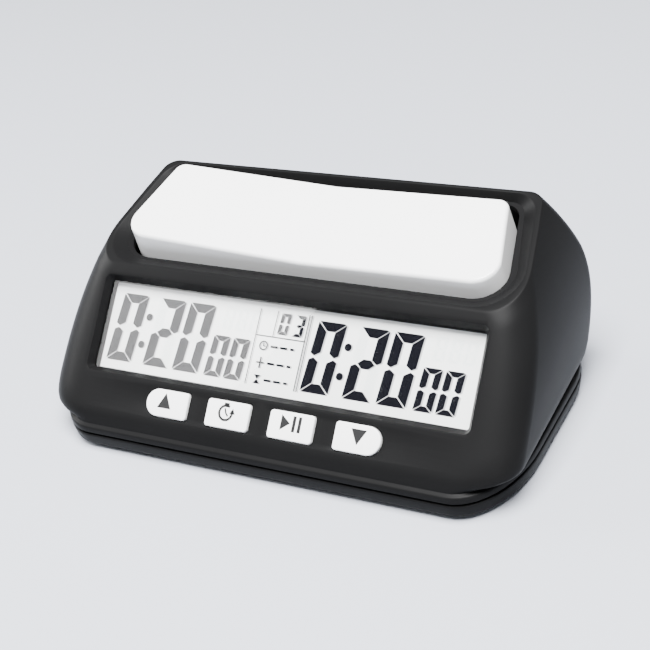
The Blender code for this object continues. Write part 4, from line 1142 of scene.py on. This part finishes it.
class CLOCK_OT_studio(bpy.types.Operator):
    """Build the floor, the lights and the camera"""
    bl_idname = "chess_clock.studio"
    bl_label = "Build studio"

    def execute(self, context):
        settings = context.scene.chess_clock.studio
        floor = solid("floor", box((-3000, -3000, -20), (3000, 3000, -0.05)))
        look = moulded("floor_pale", tuple(settings.floor), 0.6, 300.0, 0.0, 0.01, 3.0)
        floor.data.materials.append(look)
        world = bpy.data.worlds.new("studio_sky")
        world.use_nodes = True
        sky = world.node_tree.nodes["Background"]
        sky.inputs["Color"].default_value = SKY_COLOUR
        sky.inputs["Strength"].default_value = SKY_STRENGTH
        context.scene.world = world
        for name, place, turn, size, power in LIGHTS:
            lamp = bpy.data.lights.new(name, "AREA")
            lamp.shape = "RECTANGLE"
            lamp.size, lamp.size_y = size
            lamp.energy = power
            made = bpy.data.objects.new(name, lamp)
            made.location = place
            made.rotation_euler = [math.radians(angle) for angle in turn]
            context.scene.collection.objects.link(made)
        azimuth, elevation, roll = (math.radians(angle) for angle in CAMERA_TURN)
        back = Vector((math.sin(azimuth), -math.cos(azimuth), 0.0)) * math.cos(elevation)
        back.z = math.sin(elevation)
        right = Vector((math.cos(azimuth), math.sin(azimuth), 0.0))
        up = back.cross(right)
        turned_right = right * math.cos(roll) + up * math.sin(roll)
        turned_up = up * math.cos(roll) - right * math.sin(roll)
        camera = bpy.data.objects.new("camera", bpy.data.cameras.new("camera"))
        camera.data.lens = settings.lens
        camera.data.sensor_width = 36.0
        camera.data.clip_start = 0.01
        turn = Matrix((turned_right, turned_up, back)).transposed().to_4x4()
        camera.matrix_world = Matrix.Translation(TARGET + back * settings.distance) @ turn
        context.scene.collection.objects.link(camera)
        context.scene.camera = camera
        return {"FINISHED"}


class CLOCK_PT_panel(bpy.types.Panel):
    """Buttons and settings of the chess clock"""
    bl_idname = "CLOCK_PT_panel"
    bl_label = "Chess Clock"
    bl_space_type = "VIEW_3D"
    bl_region_type = "UI"
    bl_category = "Chess Clock"

    def draw(self, context):
        settings = context.scene.chess_clock
        rows = ((settings.housing, ("edge",), "chess_clock.housing"),
                (settings.rocker, ("edge_steps",), "chess_clock.rocker"),
                (settings.springs, ("turns",), "chess_clock.springs"),
                (settings.keys, ("softness",), "chess_clock.keys"),
                (settings.display, ("lit", "ghost"), "chess_clock.display"),
                (settings.studio, ("floor", "distance", "lens"), "chess_clock.studio"))
        for group, names, operator in rows:
            for name in names:
                self.layout.prop(group, name)
            self.layout.operator(operator)
        self.layout.operator("chess_clock.details")


CLASSES = (HousingSettings, RockerSettings, SpringSettings, KeySettings, DisplaySettings,
           StudioSettings, ClockSettings, CLOCK_OT_housing, CLOCK_OT_rocker, CLOCK_OT_springs,
           CLOCK_OT_keys, CLOCK_OT_display, CLOCK_OT_details, CLOCK_OT_studio, CLOCK_PT_panel)


def register():
    for item in CLASSES:
        bpy.utils.register_class(item)
    bpy.types.Scene.chess_clock = bpy.props.PointerProperty(
        type=ClockSettings, name="Chess clock", description="Settings of the chess clock")


def unregister():
    del bpy.types.Scene.chess_clock
    for item in reversed(CLASSES):
        bpy.utils.unregister_class(item)


def main():
    register()
    bpy.ops.chess_clock.housing()
    bpy.ops.chess_clock.rocker()
    bpy.ops.chess_clock.springs()
    bpy.ops.chess_clock.keys()
    bpy.ops.chess_clock.display()
    bpy.ops.chess_clock.details()
    bpy.ops.chess_clock.studio()


if __name__ == "__main__":
    main()
